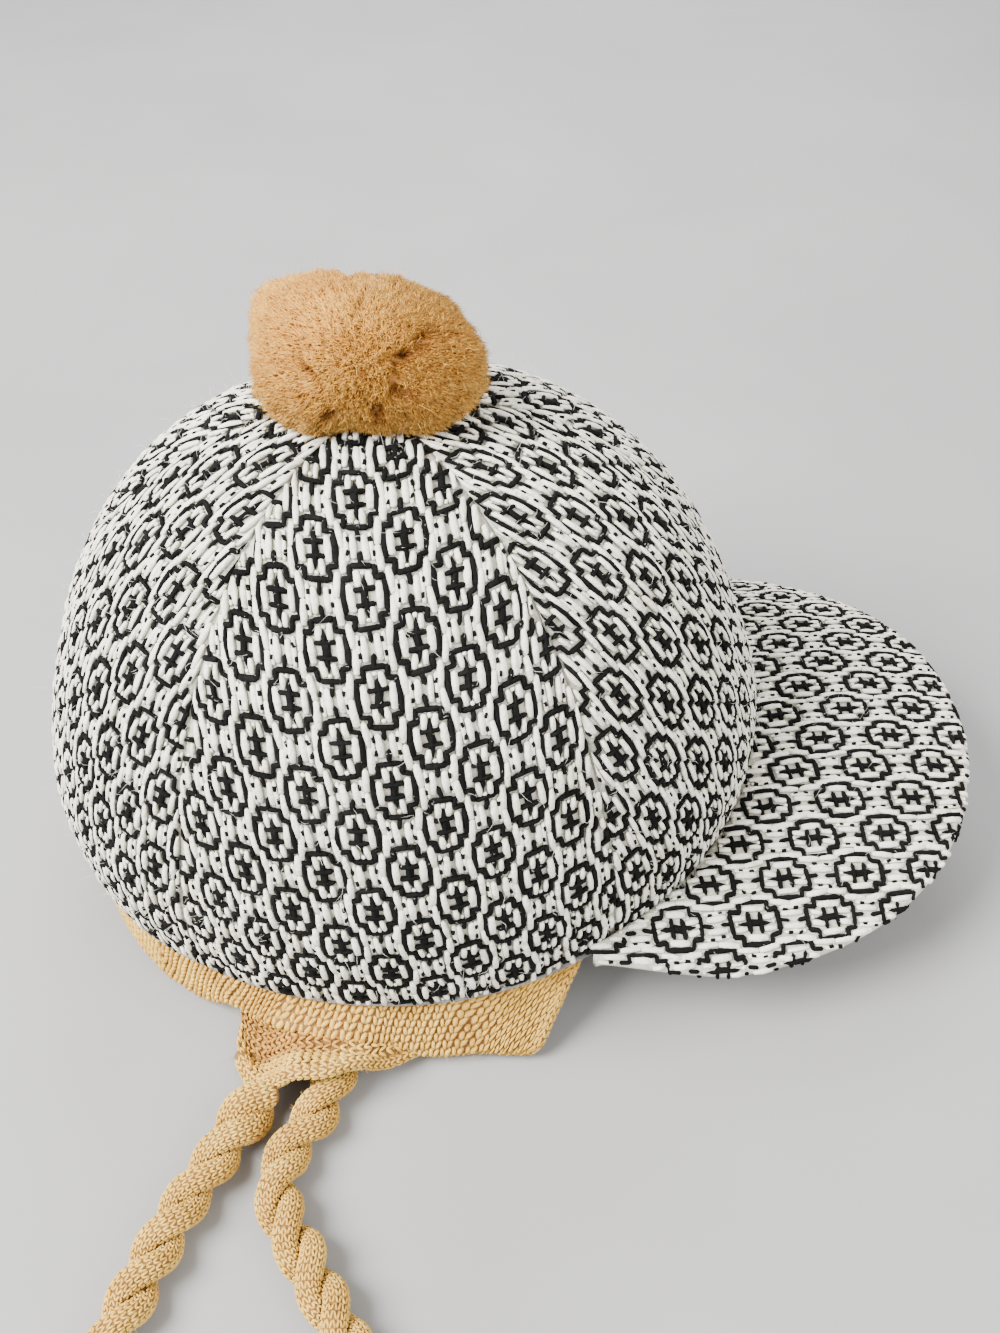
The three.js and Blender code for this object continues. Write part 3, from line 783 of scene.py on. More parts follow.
def weave(fits, span, cell, lean, phase, skew=0.0):
    # the strokes of every rosette that falls on a piece: its two ends, its thickness and its height
    column, pick = cell
    reach = int(span / (repeat["columns"] * column)) + 4
    i, j = np.meshgrid(np.arange(-reach, reach + 1), np.arange(-reach, reach + 1))
    stand = (i + j) % 2 == 0
    u, v = i[stand] * repeat["columns"] * column, j[stand] * repeat["picks"] * pick
    c, w = math.cos(lean), math.sin(lean)
    out = {}
    for yarn, table in (("black", turned(blackStrokes)), ("ivory", turned(whiteStrokes))):
        ends = []
        for k in (0, 2):
            a = (u[:, None] + table[None, :, k] * column).ravel()
            b = (v[:, None] + table[None, :, k + 1] * pick).ravel()
            s = a * c - b * w + phase[0]
            l = a * w + b * c + a * skew + phase[1]
            # the hand-thrown picks wander a little
            ends += [s + 0.26 * np.sin(l * 0.83 + 1.4 * np.sin(s * 0.29)),
                     l + 0.26 * np.sin(s * 0.77 + 1.7 * np.sin(l * 0.23))]
        rows = np.stack(ends + [np.tile(table[:, 4], len(u)), np.tile(table[:, 5], len(u))], 1)
        middle = (rows[:, 0:2] + rows[:, 2:4]) / 2
        out[yarn] = rows[fits(middle[:, 0], middle[:, 1])]
    return out


floats = [
    {"yarn": "ivory", "slot": 0, "rings": 3, "sides": 5, "stray": 0.1, "overrun": 0.3},
    {"yarn": "black", "slot": 1, "rings": 2, "sides": 4, "stray": 0.055, "overrun": 0.8},
]


def clothGrains(heap, place, found, scale):
    for kind in floats:
        rows = found[kind["yarn"]].copy()
        n = len(rows)
        rows[:, :4] += rng.normal(0, kind["stray"], (n, 4))
        step = rows[:, 2:4] - rows[:, 0:2]
        length = np.linalg.norm(step, axis=1) + rows[:, 4] * kind["overrun"]
        turn = np.arctan2(step[:, 0], step[:, 1])
        width = rows[:, 4] * scale * (1 + rng.normal(0, 0.07, n))
        height = rows[:, 5] * (1 + rng.normal(0, 0.12, n))
        where = (rows[:, 0:2] + rows[:, 2:4]) / 2
        shape = grains(where, length, width, height, turn, rings=kind["rings"], sides=kind["sides"], seat=0.1)
        sew(heap, place, shape, kind["slot"])


# the last three sizes set the grey tube of painted shade along the hem
cloth = {"rows": 90, "columns": 33, "seam": 0.12, "sunk": 0.55, "backing": 0.35, "hairs": 800, "cell": 1.43,
         "binding": 0.95, "bindingIn": 0.45, "bindingDown": 0.25}


def gore(panel):
    up, side = np.meshgrid(np.linspace(0, 1, cloth["rows"]), np.linspace(0, 1, cloth["columns"]), indexing="ij")
    radius = rim["long"] * hermite(up, profileUp, profileOut)
    inset = np.degrees(cloth["seam"] / radius)
    angle = panel["from"] + inset + (panel["to"] - panel["from"] - 2 * inset) * side
    grid = crownPoint(angle, up, side)
    patch = Patch(grid)
    patch.face(40, 16, grid[40, 16] - [0, 0, 60])
    patch.grid = grid = grid - patch.n * cloth["sunk"]
    heap = Heap()
    outer, inner = grid - patch.n * cloth["backing"], grid - patch.n * rim["wall"]
    # the backing takes slot 2, the ground yarn darkened with painted shade between the floats
    slab(outer[::3, ::2], inner[::3, ::2], heap, 2)

    def fits(s, l):
        low, high = patch.reach(l)
        return (l > 0.1) & (l < patch.length - 0.5) & (s > low + 0.1) & (s < high - 0.1)
    span = max(patch.high.max() - patch.low.min(), patch.length)
    found = weave(fits, span, panel["cell"], panel["lean"], panel["phase"], panel["skew"])
    clothGrains(heap, patch.place, found, panel["cell"][0] / cloth["cell"])
    fuzzOver(heap, patch, cloth["hairs"], 4)
    # rolled binding along the hem
    # a grey rolled tube along the hem, painted as the hem's shadow line
    centre = grid[0] - [0, 0, cloth["bindingDown"]] - patch.n[0] * cloth["bindingIn"]
    roundEnds(plyTube(centre, np.full(len(centre), cloth["binding"]), 8), centre, heap, 3)
    piece = heap.done(panel["name"] + "_cloth", [ivoryYarn, blackYarn, groundYarn, greyBinding, fluff])
    dress(piece, panel["name"], "patterned_cloth")


gores = [
    {"name": "panel_front_left", "from": 0, "to": 60, "cell": (1.40, 1.46), "lean": -0.08, "skew": 0.0,
     "phase": (3, 60)},
    {"name": "panel_side_left", "from": 60, "to": 128, "cell": (1.43, 1.43), "lean": -0.06, "skew": 0.0,
     "phase": (0, 70)},
    {"name": "panel_back_left", "from": 128, "to": 180, "cell": (1.38, 1.46), "lean": 0.04, "skew": 0.0,
     "phase": (2, 66)},
    {"name": "panel_back_right", "from": 180, "to": 232, "cell": (1.24, 1.48), "lean": 0.01, "skew": -0.26,
     "phase": (15.2, 89.3)},
    {"name": "panel_side_right", "from": 232, "to": 300, "cell": (1.43, 1.425), "lean": 0.089, "skew": 0.0,
     "phase": (2.76, 74.8)},
    {"name": "panel_front_right", "from": 300, "to": 360, "cell": (1.25, 1.46), "lean": 0.11, "skew": 0.16,
     "phase": (-12.4, 80.4)},
]
for panel in gores:
    gore(panel)
    print("gore woven", panel["name"])


# peak
peak = {"reach": 66.0, "half": 81.5, "thick": 4.6, "tip": 36.0, "arch": 13.0, "swell": 3.0, "root": 63.4,
        "corner": 5.0, "off": 0.45, "round": 0.575, "skin": 0.3, "cell": (1.47, 1.32), "hairs": 900}


def peakCurves(v):
    # the peak's root on the crown and its outer edge, from its right corner (-1) to its left one (1)
    angle = v * peak["root"]
    hem = hemHeight(angle)
    seams = np.where(angle < 0, -60.0, 0.0)
    across = np.clip((angle - seams) / 60.0, 0, 1)
    up = peak["thick"] / 2 / (rim["high"] + rim["crown"] - hem)
    a, quarter = np.radians(angle), np.radians(v * 90)
    n = unit(np.stack([np.cos(a) / rim["long"], np.sin(a) / rim["wide"], 0 * angle], -1))
    root = crownPoint(angle, up, across) + n * peak["off"]
    side = np.sin(quarter)
    cornerX = rim["long"] * math.cos(math.radians(peak["root"])) - 6
    tipX = rim["long"] + peak["reach"]
    edge = np.stack([cornerX + (tipX - cornerX) * np.cos(quarter).clip(0) ** peak["round"],
                     peak["half"] * side, peak["tip"] - peak["arch"] * side ** 2], -1)
    corner = root + np.stack([0 * v, np.sign(v) * peak["corner"], 0 * v], -1)
    w = np.clip((np.abs(v) - 0.9) / 0.1, 0, 1)
    w = (w * w * (3 - 2 * w))[:, None]
    return root, edge * (1 - w) + corner * w, side


def makePeak():
    half = peak["thick"] / 2
    v = np.sin(np.linspace(-1, 1, 141) * np.pi / 2)
    v = np.sign(v) * np.abs(v) ** 0.9
    root, edge, side = peakCurves(v)
    tangent = np.gradient(edge, axis=0)
    outward = unit(np.stack([-tangent[:, 1], tangent[:, 0], 0 * v], -1))
    outward *= np.sign((outward * (edge - [40, 0, 0])).sum(1))[:, None]
    rimLine = edge - outward * half
    share = np.linspace(0, 1, 20)[None, :, None]
    mid = root[:, None] * (1 - share) + rimLine[:, None] * share
    mid[..., 2] += peak["swell"] * np.sin(np.pi * share[..., 0]) * (1 - side[:, None] ** 2)
    bend = np.linspace(0, np.pi, 9)[None, 1:-1, None]
    upward = np.array([0, 0, 1.0])
    roll = rimLine[:, None] + outward[:, None] * half * np.sin(bend) + upward * half * np.cos(bend)
    skin = [0, 0, half - peak["skin"]]
    rings = np.concatenate([mid + skin, roll, (mid - skin)[:, ::-1]], 1)
    verts, quads = loft(rings)
    ring = rings.shape[1]
    heap = Heap()
    # the peak's body takes slot 2, the ground yarn darkened with painted shade between the floats
    heap.add(verts, quads, 2)
    heap.cover([list(range(ring)), list(range((len(v) - 1) * ring, len(v) * ring))[::-1]], 2)
    tree = BVHTree.FromPolygons([tuple(p) for p in verts], [tuple(q) for q in quads.tolist()])
    start, seg, out = rimLine[:-1, :2], np.diff(rimLine[:, :2], axis=0), outward[:, :2]

    def nearRim(q):
        # the rim's closest point to each point: its segment, its share along that and its place
        t = np.clip(((q[:, None] - start[None]) * seg[None]).sum(-1) / (seg * seg).sum(-1)[None], 0, 1)
        near = start[None] + t[..., None] * seg[None]
        k = np.linalg.norm(q[:, None] - near, axis=-1).argmin(1)
        i = np.arange(len(q))
        return k, t[i, k], near[i, k]

    def place(sign):
        # lays a stitch on the top (1) or the underside (-1), rolled round the rim where it runs past it
        def put(s, l, h):
            q, high = np.stack([l.ravel(), s.ravel()], 1), h.ravel()
            k, f, near = nearRim(q)
            n = unit(out[k] * (1 - f[:, None]) + out[k + 1] * f[:, None])
            past = ((q - near) * n).sum(1)
            level = rimLine[k, 2] * (1 - f) + rimLine[k + 1, 2] * f
            a = np.clip(past / half, 0, math.pi * 0.62)
            r = half + high
            result = np.column_stack([near + n * (np.sin(a) * r)[:, None], level + sign * np.cos(a) * r])
            for j in np.nonzero(past <= 0)[0]:
                above, down = Vector((*q[j], 80.0 * sign)), Vector((0, 0, -sign))
                hit, normal = tree.ray_cast(above, down)[:2]
                if hit is None:
                    result[j] = (*q[j], level[j] + sign * r[j])
                else:
                    normal = np.array(normal)
                    result[j] = np.array(hit) + normal * np.sign(normal[2]) * sign * (high[j] + peak["skin"])
            return result.reshape(s.shape + (3,))
        return put

    def inside(limit):
        # up to limit past the rim, off the crown and ahead of the corners only
        def fits(s, l):
            q = np.stack([l, s], 1)
            k, near = nearRim(q)[::2]
            past = ((q - near) * out[k]).sum(1)
            crown = np.interp(s, root[:, 1], root[:, 0])
            return ((past < limit) & (l > crown - 0.6) & (np.abs(s) < peak["half"] + half)
                    & (l > root[:, 0].min() + 0.5))
        return fits
    span = 190
    top, under = place(1), place(-1)
    clothGrains(heap, top, weave(inside(half * 1.55), span, peak["cell"], -0.03, (-38.2, 96.8)), 0.95)
    s, l = rng.uniform(-84, 84, peak["hairs"]), rng.uniform(45, 166, peak["hairs"])
    ok = inside(2.0)(s, l)
    foot = top(s[ok], l[ok], np.full(ok.sum(), 0.5))
    fuzz(heap, foot, top(s[ok], l[ok], np.full(ok.sum(), 1.5)) - foot, 3)
    clothGrains(heap, under, weave(inside(-0.4), span, peak["cell"], 0.0, (-30.0, 100.0)), 0.95)
    dress(heap.done("peak_cloth", [ivoryYarn, blackYarn, groundYarn, fluff]), "peak", "patterned_cloth")


makePeak()
print("peak covered")


# knit band and flaps
band = {"thick": 4.2, "inset": 0.6, "front": 64.0, "slant": 13.0, "back": 140.0, "turn": 20.0, "splay": 5.0,
        "bend": 3.2, "gap": 0.45, "wale": 3.3, "course": 2.6, "floor": 0.05}
# along the edge from its front, lift off the floor, splay, depth turned under, each as a share
nearEdge = np.array([
    (0, 0, 1.9, 0.35), (0.08, 0, 1.6, 0.6), (0.2, 0, 1.15, 1), (0.34, 0, 1, 1), (0.43, 0.17, 1.0, 1),
    (0.5, 0.37, 1.25, 1), (0.56, 0.42, 1.35, 1), (0.65, 0.42, 1.2, 1), (0.685, 0.32, 0.9, 1),
    (0.73, 0.2, 0.4, 1), (0.8, 0.2, 0.05, 1), (0.9, 0, 0, 0.9), (1, 0, 0, 0.7)])
farEdge = np.array([
    (0, 0, 0.8, 0.35), (0.2, 0, 0.9, 0.9), (0.55, 0, 0.6, 1.15), (0.8, 0, 0.3, 1), (1, 0, 0, 0.7)])
backEdge = np.array([(0, 0, 0, 0.7), (0.5, 0.12, -0.4, 0.6), (1, 0, 0, 0.7)])


def rimAt(angle, inset):
    a = np.radians(angle)
    n = unit(np.stack([np.cos(a) / rim["long"], np.sin(a) / rim["wide"], 0 * a], -1))
    out = np.stack([rim["long"] * np.cos(a), rim["wide"] * np.sin(a), 0 * a], -1) * profileOut[0]
    return out - n * inset, n


def bandGrid(start, stop, table, stations, frontEnd):
    half, bend = band["thick"] / 2, band["bend"]
    grid = []
    for along in np.linspace(0, 1, stations):
        lift, splay, turn = (float(hermite(np.array([along]), table[:, 0], table[:, k])[0]) for k in (1, 2, 3))
        angle = start + (stop - start) * along
        top = float(hemHeight(angle)) - 0.3
        floor = max(0.0, lift) * rim["high"] + half
        splay, turn = splay * band["splay"], turn * band["turn"]
        fold = floor + bend
        path = [(out * splay, top + (fold - top) * down)
                for out, down in ((0, 0), (0, 0.12), (0.2, 0.35), (0.62, 0.72), (1, 1))]
        path += [(splay - bend * (1 - math.cos(a)), floor + bend * (1 - math.sin(a))) for a in (0.4, 0.8, 1.2)]
        path += [(splay - bend - under * turn, floor) for under in (0, 0.5, 1)]
        path = np.array(path)
        run = runAlong(path)
        even = np.linspace(0, run[-1], 40)
        out, up = np.interp(even, run, path[:, 0]), np.interp(even, run, path[:, 1])
        slant = frontEnd * band["slant"] * max(0.0, 1 - along / 0.3)
        p, n = rimAt(angle + slant * (top - up) / top, band["inset"] + half)
        p = p + n * out[:, None]
        p[:, 2] = up
        grid.append(p)
    return np.array(grid)


def knitOver(heap, patch, span, wale, course, slot, depth=1.05, along=False, margin=0.0):
    # the patch runs down the band in s and along it in l; span is its start, stop, low and high
    facts = {"lean": 0.36, "clear": 1.25, "hairs": 250, "aslant": 0.43 if along else 0.27}
    if along:
        # the wales follow the patch's far edge
        u, v = np.meshgrid(np.arange(span[0], span[1], course), np.arange(wale / 2, span[3] - span[2], wale))
        u, v = u.ravel(), v.ravel()
        v = patch.reach(u)[1] - v - margin
        aim, spread, hand = 0.0, (wale * 0.235, 0.0), -1
    else:
        # the wales lean forward towards the top
        drop, lean = span[3] - span[2], facts["lean"]
        u, v = np.meshgrid(np.arange(span[0] - lean * drop, span[1] + lean * drop, wale),
                           np.arange(span[2] + course / 2, span[3], course))
        u, v = u.ravel(), v.ravel()
        u = u + lean * (v - span[2] - drop / 2) + 0.25 * np.sin(v * 0.31 + u * 0.11)
        aim, spread, hand = math.pi / 2 - math.atan(lean), (0.0, wale * 0.21), 1
    for side in (-1, 1):
        n = len(u)
        where = np.stack([v + side * spread[0] + rng.normal(0, 0.05, n),
                          u + side * spread[1] + rng.normal(0, 0.05, n)], 1)
        low, high = patch.reach(where[:, 1])
        inside = (where[:, 0] > low + 0.3) & (where[:, 0] < high - 0.3)
        where = where[inside & (where[:, 1] > -0.3) & (where[:, 1] < patch.length + 0.3)]
        lie = patch.place(where[:, 0], where[:, 1], np.zeros(len(where)))
        where = where[lie[:, 2] > facts["clear"]]
        n = len(where)
        length = np.full(n, course * 1.2) * (1 + rng.normal(0, 0.05, n))
        width = np.full(n, wale * 0.39) * (1 + rng.normal(0, 0.05, n))
        height = np.full(n, depth) * (1 + rng.normal(0, 0.09, n))
        turn = aim + side * hand * facts["aslant"] + rng.normal(0, 0.05, n)
        sew(heap, patch.place, grains(where, length, width, height, turn, sink=0.5), slot)
    fuzzOver(heap, patch, facts["hairs"], slot)


def bandPiece(start, stop, table, stations, frontEnd):
    grid = bandGrid(start, stop, table, stations, frontEnd)
    patch = Patch(grid)
    patch.face(stations // 2, 5, grid[stations // 2, 5] - [0.0, 0.0, 12.0])
    half = band["thick"] / 2
    heap = Heap()
    face = grid + patch.n * (half - 0.75)
    back = grid - patch.n * half
    for skin in (face, back):
        skin[..., 2] = np.maximum(skin[..., 2], band["floor"])
        skin[:, 0, 2] = grid[:, 0, 2]
    # the slab under the stitches takes slot 1, a dark tan painted as the shade between them
    slab(face, back, heap, 1)
    cover = Patch(face)
    cover.n = patch.n
    span = (0.3, cover.length - 0.3, cover.low.min(), cover.high.max())
    knitOver(heap, cover, span, band["wale"], band["course"], 0)
    return heap, grid


def makeFlaps():
    gap = math.degrees(band["gap"] / (rim["wide"] - band["turn"]))
    near, grid = bandPiece(-band["front"], -band["back"] + gap, nearEdge, 90, -1)
    frontRoll(near, grid)
    flapTip(near)
    far, grid = bandPiece(band["front"], band["back"] - gap, farEdge, 60, 1)
    frontRoll(far, grid)
    neck, grid = bandPiece(band["back"] - gap, 360 - band["back"] + gap, backEdge, 60, 0)
    for name, heap in (("ear_flap_right", near), ("ear_flap_left", far), ("neck_band", neck)):
        dress(heap.done(name + "_knit", [tanYarn, tanDeep, tanFold]), name, "tan_knit")


def frontRoll(heap, grid):
    # the band's slanted front end is rolled
    edge, inner = grid[0, 2:30], grid[4, 2:30]
    line = edge * 0.75 + inner * 0.25
    knitPly(heap, line, inner, 2.0, (0.0, 1.0), wale=1.8, course=2.3, high=0.5)


def flapTip(heap):
    # the flap's own point, which lies out from under the near band
    tip = {"from": 0.355, "to": 0.775, "stations": 48, "across": 18, "reach": 19.0, "heading": -96.0,
           "rolled": 2.1, "rise": 0.9, "hollow": 0.9, "crease": 2.6, "wale": 2.35, "course": 2.3, "depth": 0.9}
    # along the band, reach and lift, each as a share
    table = np.array([
        (0.355, 0.02, 0.04), (0.395, 0.22, 0.12), (0.44, 0.4, 0.25), (0.495, 0.6, 0.45), (0.56, 0.88, 0.52),
        (0.625, 0.95, 0.51), (0.67, 1, 0.28), (0.71, 0.98, 0.03), (0.745, 0.84, 0), (0.775, 0.42, 0)])
    heading = math.radians(tip["heading"])
    way = np.array([math.cos(heading), math.sin(heading), 0])
    at = np.linspace(tip["from"], tip["to"], tip["stations"])
    out, lift = (np.interp(at, table[:, 0], table[:, k]) for k in (1, 2))
    for curve in (out, lift):
        for k in range(4):
            curve[1:-1] = (curve[:-2] + 2 * curve[1:-1] + curve[2:]) / 4
    p = rimAt(-band["front"] + (-band["back"] + band["front"]) * at, 0)[0]
    share, inner = np.linspace(0, 1, tip["across"]), band["turn"] * 0.6
    reach, base = (out * tip["reach"])[:, None], (lift * rim["high"])[:, None]
    d = -inner + (reach + inner) * share
    fromEdge = reach - d
    rise = tip["rise"] * np.exp(-((fromEdge - 2.5) / 2.2) ** 2)
    hollow = tip["hollow"] * np.exp(-((fromEdge - 8.5) / 3.5) ** 2)
    crease = tip["crease"] * np.exp(-((d - 8.6) / 3.2) ** 2)
    edge = np.clip(fromEdge / tip["rolled"], 0, 1)
    roundOff = tip["rolled"] * (1 - np.sqrt(1 - (1 - edge) ** 2))
    top = p[:, None] + way * d[..., None]
    under = top.copy()
    top[..., 2] = base + band["thick"] + rise - (hollow + crease) - roundOff
    under[..., 2] = np.minimum(base + roundOff, top[..., 2] - 0.05)
    patch = Patch(top)
    patch.face(20, 9, [0, 0, 1])
    # the slab under the stitches takes slot 1, a dark tan painted as the shade between them
    slab(top - patch.n * 0.3, under, heap, 1)
    wide = patch.high.max() - patch.low.min()
    # the stitches farther from the flap's edge, toward the band's fold, take slot 2: a darker tan of painted shade in
    # the crease
    for width, margin, slot in ((7.2, 1.6, 0), (wide - 8.8, 8.7, 2)):
        knitOver(heap, patch, (0.3, patch.length - 0.3, 0, width), tip["wale"], tip["course"], slot,
                 depth=tip["depth"], along=True, margin=margin)
    # the rolled edge
    middle = (top[1:-1, -1] + under[1:-1, -1]) / 2
    selvedge = spline(middle - way * 1.7 + [0, 0, 0.15], 0.8)[0]
    knitPly(heap, selvedge, selvedge - [0, 0, 4], 2.0, (0.0, 1.0), wale=1.75, course=1.9, high=0.42)


makeFlaps()
print("flaps knitted")


# pompom
def crownTopAt(p):
    # height of the crown under a point near its middle
    flat = np.sqrt(((p[:, 0] + rim["lean"]) / rim["long"]) ** 2 + (p[:, 1] / rim["wide"]) ** 2)
    ups = np.linspace(1, 0.5, 60)
    return rim["high"] + rim["crown"] * np.interp(flat, hermite(ups, profileUp, profileOut), ups)


def cutEndTree():
    # stands one three-sided cut end on each point, turned along the point's aim
    tree = bpy.data.node_groups.new("cutEnds", "GeometryNodeTree")
    sockets = {}
    for name, kind in (("Points", "Geometry"), ("Thickness", "Float"), ("Foot Shade", "Float"),
                       ("Seed", "Int"), ("Yarn", "Material")):
        made = tree.interface.new_socket(name, in_out="INPUT", socket_type="NodeSocket" + kind)
        sockets[name] = made.identifier
    tree.interface.new_socket("Tufts", in_out="OUTPUT", socket_type="NodeSocketGeometry")

    def node(kind, settings=None, out=None, **values):
        # a socket is named without its spaces, or numbered as in0
        made = tree.nodes.new(kind)
        for name, value in (settings or {}).items():
            setattr(made, name, value)
        for name, value in values.items():
            named = [one for one in made.inputs if one.enabled and one.name.replace(" ", "") == name]
            socket = named[0] if named else made.inputs[int(name[2:])]
            if isinstance(value, bpy.types.NodeSocket):
                tree.links.new(value, socket)
            else:
                socket.default_value = value
        return made.outputs[out] if out else next(one for one in made.outputs if one.enabled)

    def named(name, kind="FLOAT"):
        return node("GeometryNodeInputNamedAttribute", {"data_type": kind}, Name=name)

    def times(a, b):
        return node("ShaderNodeMath", {"operation": "MULTIPLY"}, in0=a, in1=b)

    def store(geometry, value):
        return node("GeometryNodeStoreNamedAttribute", {"data_type": "FLOAT", "domain": "POINT"},
                    Geometry=geometry, Name="depth", Value=value)

    given = tree.nodes.new("NodeGroupInput").outputs
    cone = node("GeometryNodeMeshCone", {"fill_type": "NGON"}, Vertices=3, SideSegments=1, FillSegments=1,
                RadiusTop=0.0, RadiusBottom=1.0, Depth=1.0)
    # depth is painted shade: from Foot Shade at each end's foot up to 1, fully lit, at its tip
    rise = node("ShaderNodeSeparateXYZ", None, "Z", in0=node("GeometryNodeInputPosition"))
    cone = store(cone, node("ShaderNodeMapRange", None, Value=rise, ToMin=given["Foot Shade"], ToMax=1.0))
    aim = named("aim", "FLOAT_VECTOR")
    spin = node("FunctionNodeRandomValue", {"data_type": "FLOAT"}, Min=0.0, Max=2 * math.pi, Seed=given["Seed"])
    spin = node("FunctionNodeEulerToRotation", None, Euler=node("ShaderNodeCombineXYZ", None, Z=spin))
    turn = node("FunctionNodeAlignRotationToVector", {"axis": "Z"}, Vector=aim)
    turn = node("FunctionNodeRotateRotation", {"rotation_space": "LOCAL"}, RotateBy=spin, Rotation=turn)
    thick = times(given["Thickness"], named("girth"))
    long = node("ShaderNodeVectorMath", {"operation": "LENGTH"}, "Value", in0=aim)
    size = node("ShaderNodeCombineXYZ", None, X=thick, Y=thick, Z=long)
    made = node("GeometryNodeInstanceOnPoints", None, Points=given["Points"], Instance=cone, Rotation=turn,
                Scale=size)
    made = node("GeometryNodeRealizeInstances", None, Geometry=made)
    # the painted shade is deepened by sunk, which is low in the pits
    made = store(made, times(named("depth"), named("sunk")))
    made = node("GeometryNodeSetMaterial", None, Geometry=made, Material=given["Yarn"])
    tree.links.new(made, tree.nodes.new("NodeGroupOutput").inputs[0])
    return tree, sockets


def cutEnds(foot, sizes, **layers):
    # grows the ends with the tree and gives back the plain mesh's points, triangles and depth, its painted shade
    points = addObject("cut_end_points", foot, [], [])
    for name, values in layers.items():
        kind, key = ("FLOAT", "value") if values.ndim == 1 else ("FLOAT_VECTOR", "vector")
        layer = points.data.attributes.new(name, kind, "POINT")
        layer.data.foreach_set(key, values.astype(np.float32).ravel())
    tree, sockets = cutEndTree()
    modifier = points.modifiers.new("cut ends", "NODES")
    modifier.node_group = tree
    for name, value in sizes.items():
        modifier[sockets[name]] = value
    grown = bpy.data.meshes.new_from_object(points.evaluated_get(bpy.context.evaluated_depsgraph_get()))
    points.modifiers.remove(modifier)
    bpy.data.objects.remove(points)

    def read(items, key, each, kind):
        values = np.empty(len(items) * each, kind)
        items.foreach_get(key, values)
        return values
    place = read(grown.vertices, "co", 3, float).reshape(-1, 3) / mm + capMiddle
    corners = read(grown.loops, "vertex_index", 1, np.int32).reshape(-1, 3)
    return place, corners, read(grown.attributes["depth"].data, "value", 1, np.float32)


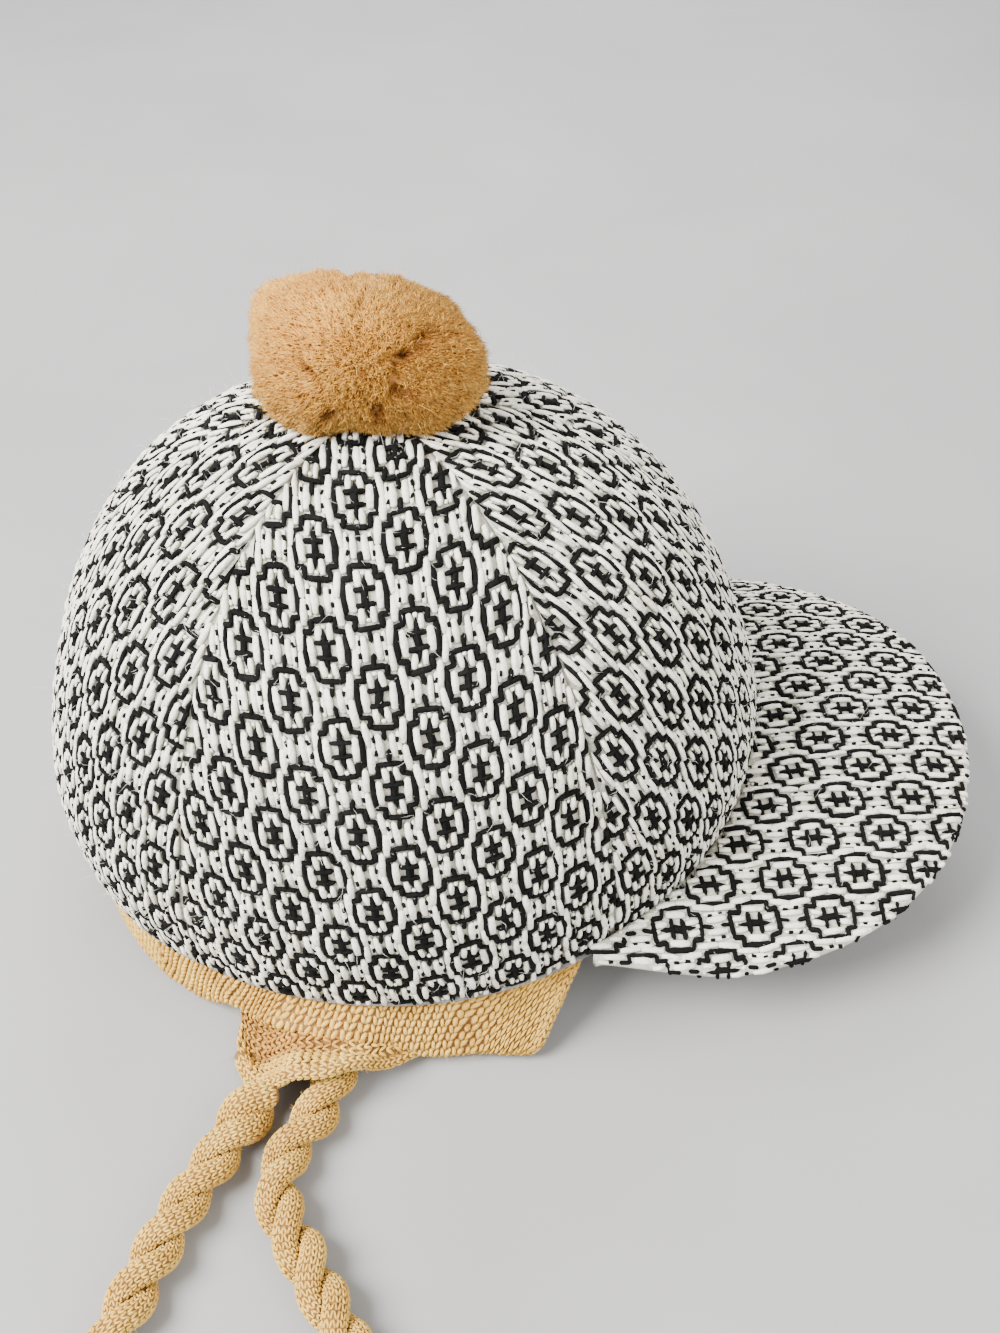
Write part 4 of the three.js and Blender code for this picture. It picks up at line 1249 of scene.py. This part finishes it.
def makePompom():
    facts = {"half": (26.6, 18.5, 17.0), "square": 3.2, "high": 37, "sink": 7, "tufts": 46000, "cleft": 1.2,
             "core": 0.92, "foot": 0.87, "clear": 0.9, "thick": 0.36, "footShade": 0.45, "seed": 5,
             "hairs": 900}
    centre = np.array([-rim["lean"] - 0.5, 0, rim["high"] + rim["crown"] + facts["high"] / 2 - facts["sink"]])
    right, up = np.array([0.9945, -0.1045, 0]), np.array([0.072, 0.689, 0.721])
    facing = np.array([-0.075, -0.717, 0.693])
    pits = [
        # right, up, deep, wide, long, turn
        (0.68, 0.03, 4.2, 0.036, 0.080, 1.0),
        (0.49, -0.20, 5.0, 0.038, 0.075, 0.7),
        (0.40, -0.50, 4.2, 0.036, 0.085, 1.4),
        (0.52, -0.58, 3.2, 0.030, 0.060, 0.2),
        (0.17, -0.84, 4.0, 0.045, 0.075, 1.5),
        (-0.58, -0.33, 2.4, 0.030, 0.080, -0.8),
        (-0.04, -0.42, 1.9, 0.030, 0.100, -0.4),
        (-0.42, -0.78, 2.3, 0.034, 0.080, 0.2),
        (-0.02, 0.62, 1.6, 0.030, 0.120, 1.2),
    ]
    swells = [
        # right, up, out, wide
        (0.74, 0.62, -2.4, 0.14),
        (0.93, 0.34, -2.6, 0.06),
        (0.98, -0.06, 1.6, 0.05),
        (-0.85, 0.45, 1.8, 0.10),
        (-0.62, 0.78, 1.4, 0.05),
        (0.72, -0.68, -0.2, 0.08),
        (0.62, -0.80, 1.3, 0.04),
        (-0.60, -0.80, 1.2, 0.04),
    ]

    def pitted(way):
        deep = np.zeros(len(way))
        for atRight, atUp, depth, wide, long, turn in pits:
            over = math.sqrt(max(0.0, 1 - atRight ** 2 - atUp ** 2))
            off = way - (right * atRight + up * atUp + facing * over)
            c, w = math.cos(turn), math.sin(turn)
            run, aside = off @ (right * c + up * w), off @ (up * c - right * w)
            away = (run / long) ** 2 + (aside / wide) ** 2 + (off @ facing / long) ** 2
            deep += depth * np.exp(-away / 2)
        return deep

    def shape(way):
        # a drum that lies along right, with its swells, its cleft, its lumps and its pits
        seen = way @ np.array([right, up, facing]).T
        ends = np.abs(seen[:, 0] / facts["half"][0])
        girth = np.hypot(seen[:, 1] / facts["half"][1], seen[:, 2] / facts["half"][2])
        size = (ends ** facts["square"] + girth ** facts["square"]) ** (-1 / facts["square"])
        for atRight, atUp, out, wide in swells:
            off = (seen[:, 0] - atRight) ** 2 + (seen[:, 1] - atUp) ** 2
            size = size + out * np.exp(-off / wide)
        x, y, z = way.T
        cleft = np.exp(-((x + 0.12 + 0.12 * y) / 0.08) ** 2) * np.clip(z + 0.05, 0, 1)
        lump = (0.45 * np.sin(x * 9 + 1) * np.cos(y * 8) + 0.4 * np.sin(z * 11 + x * 5)
                + 0.28 * np.sin(x * 23 + 2) * np.sin(y * 21 + z * 19))
        return way * (size - facts["cleft"] * cleft + lump - pitted(way))[:, None]

    heap = Heap()
    # the imported yarn inside: a dark core of painted shade that shows between the tufts
    rows, columns = 30, 48
    theta = np.linspace(0.02, np.pi - 0.02, rows)[:, None]
    phi = np.linspace(0, 2 * np.pi, columns, endpoint=False)
    dirs = np.stack([np.sin(theta) * np.cos(phi), np.sin(theta) * np.sin(phi),
                     np.cos(theta) * np.ones(columns)], -1).reshape(-1, 3)
    core = centre + shape(dirs) * facts["core"]
    core[:, 2] = np.maximum(core[:, 2], crownTopAt(core) + facts["clear"])
    core = core.reshape(rows, columns, 3)
    roundEnds(core, core[:, 0], heap, 1)
    depth = [np.zeros(heap.count)]

    count = facts["tufts"]
    level = 1 - 2 * (np.arange(count) + 0.5) / count
    turn = np.arange(count) * 2.399963   # the golden angle spreads them evenly
    ring = np.sqrt(1 - level ** 2)
    way = np.stack([ring * np.cos(turn), ring * np.sin(turn), level], 1)
    # the cut ends gather into small clumps
    drift = np.stack([np.sin(way @ [43.0, 9, 15] + k * 2.1) + np.sin(way @ [-17.0, 39, 23] + k)
                      for k in range(3)], 1)
    lean = unit(way + 0.024 * drift + rng.normal(0, 0.045, way.shape))
    clump = np.sin(way @ [37.0, -21, 18]) * np.sin(way @ [12.0, 33, -29] + 1)
    tips = centre + shape(lean) * (1 + 0.026 * clump[:, None] + rng.normal(0, 0.014, (count, 1)))
    foot = centre + shape(way) * facts["foot"]
    keep = tips[:, 2] > crownTopAt(tips) + facts["clear"]
    tips, foot, lean, clump = tips[keep], foot[keep], lean[keep], clump[keep]
    count = len(tips)
    # painted shade: tufts in the pits are darker; they are a little lighter where the clumps stand out, and vary at
    # random
    sunk = np.clip(1 - pitted(lean) / 2.9, 0.05, 1) * (0.89 + 0.11 * clump) * rng.uniform(0.84, 1.0, count)
    girth = (1 + rng.normal(0, 0.2, count)).clip(0.5, 1.6)
    sizes = {"Thickness": facts["thick"] * mm, "Foot Shade": facts["footShade"], "Seed": facts["seed"],
             "Yarn": camelYarn}
    verts, faces, shade = cutEnds(foot, sizes, aim=(tips - foot) * mm, girth=girth, sunk=sunk)
    heap.add(verts, faces, 0)
    depth.append(shade)
    loose = rng.integers(0, count, facts["hairs"])
    fuzz(heap, tips[loose], (tips - foot)[loose] / 4, 0, 1.0)
    depth.append(np.ones(heap.count - sum(len(part) for part in depth)))
    piece = heap.done("pompom_yarn", [camelYarn, camelDeep])
    # the depth attribute carries the painted shade that camelYarn reads; the loose hairs are fully lit
    shade = piece.data.attributes.new("depth", "FLOAT", "POINT")
    shade.data.foreach_set("value", np.concatenate(depth).astype(np.float32))
    dress(piece, "pompom", "camel_yarn")
    print("pompom tufts", count)


makePompom()
boxes = {"cad": [list(map(float, p)) for p in cadBox], "visual": [list(map(float, p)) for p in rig.bounds()]}
with open("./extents.json", "w") as out:
    json.dump(boxes, out)
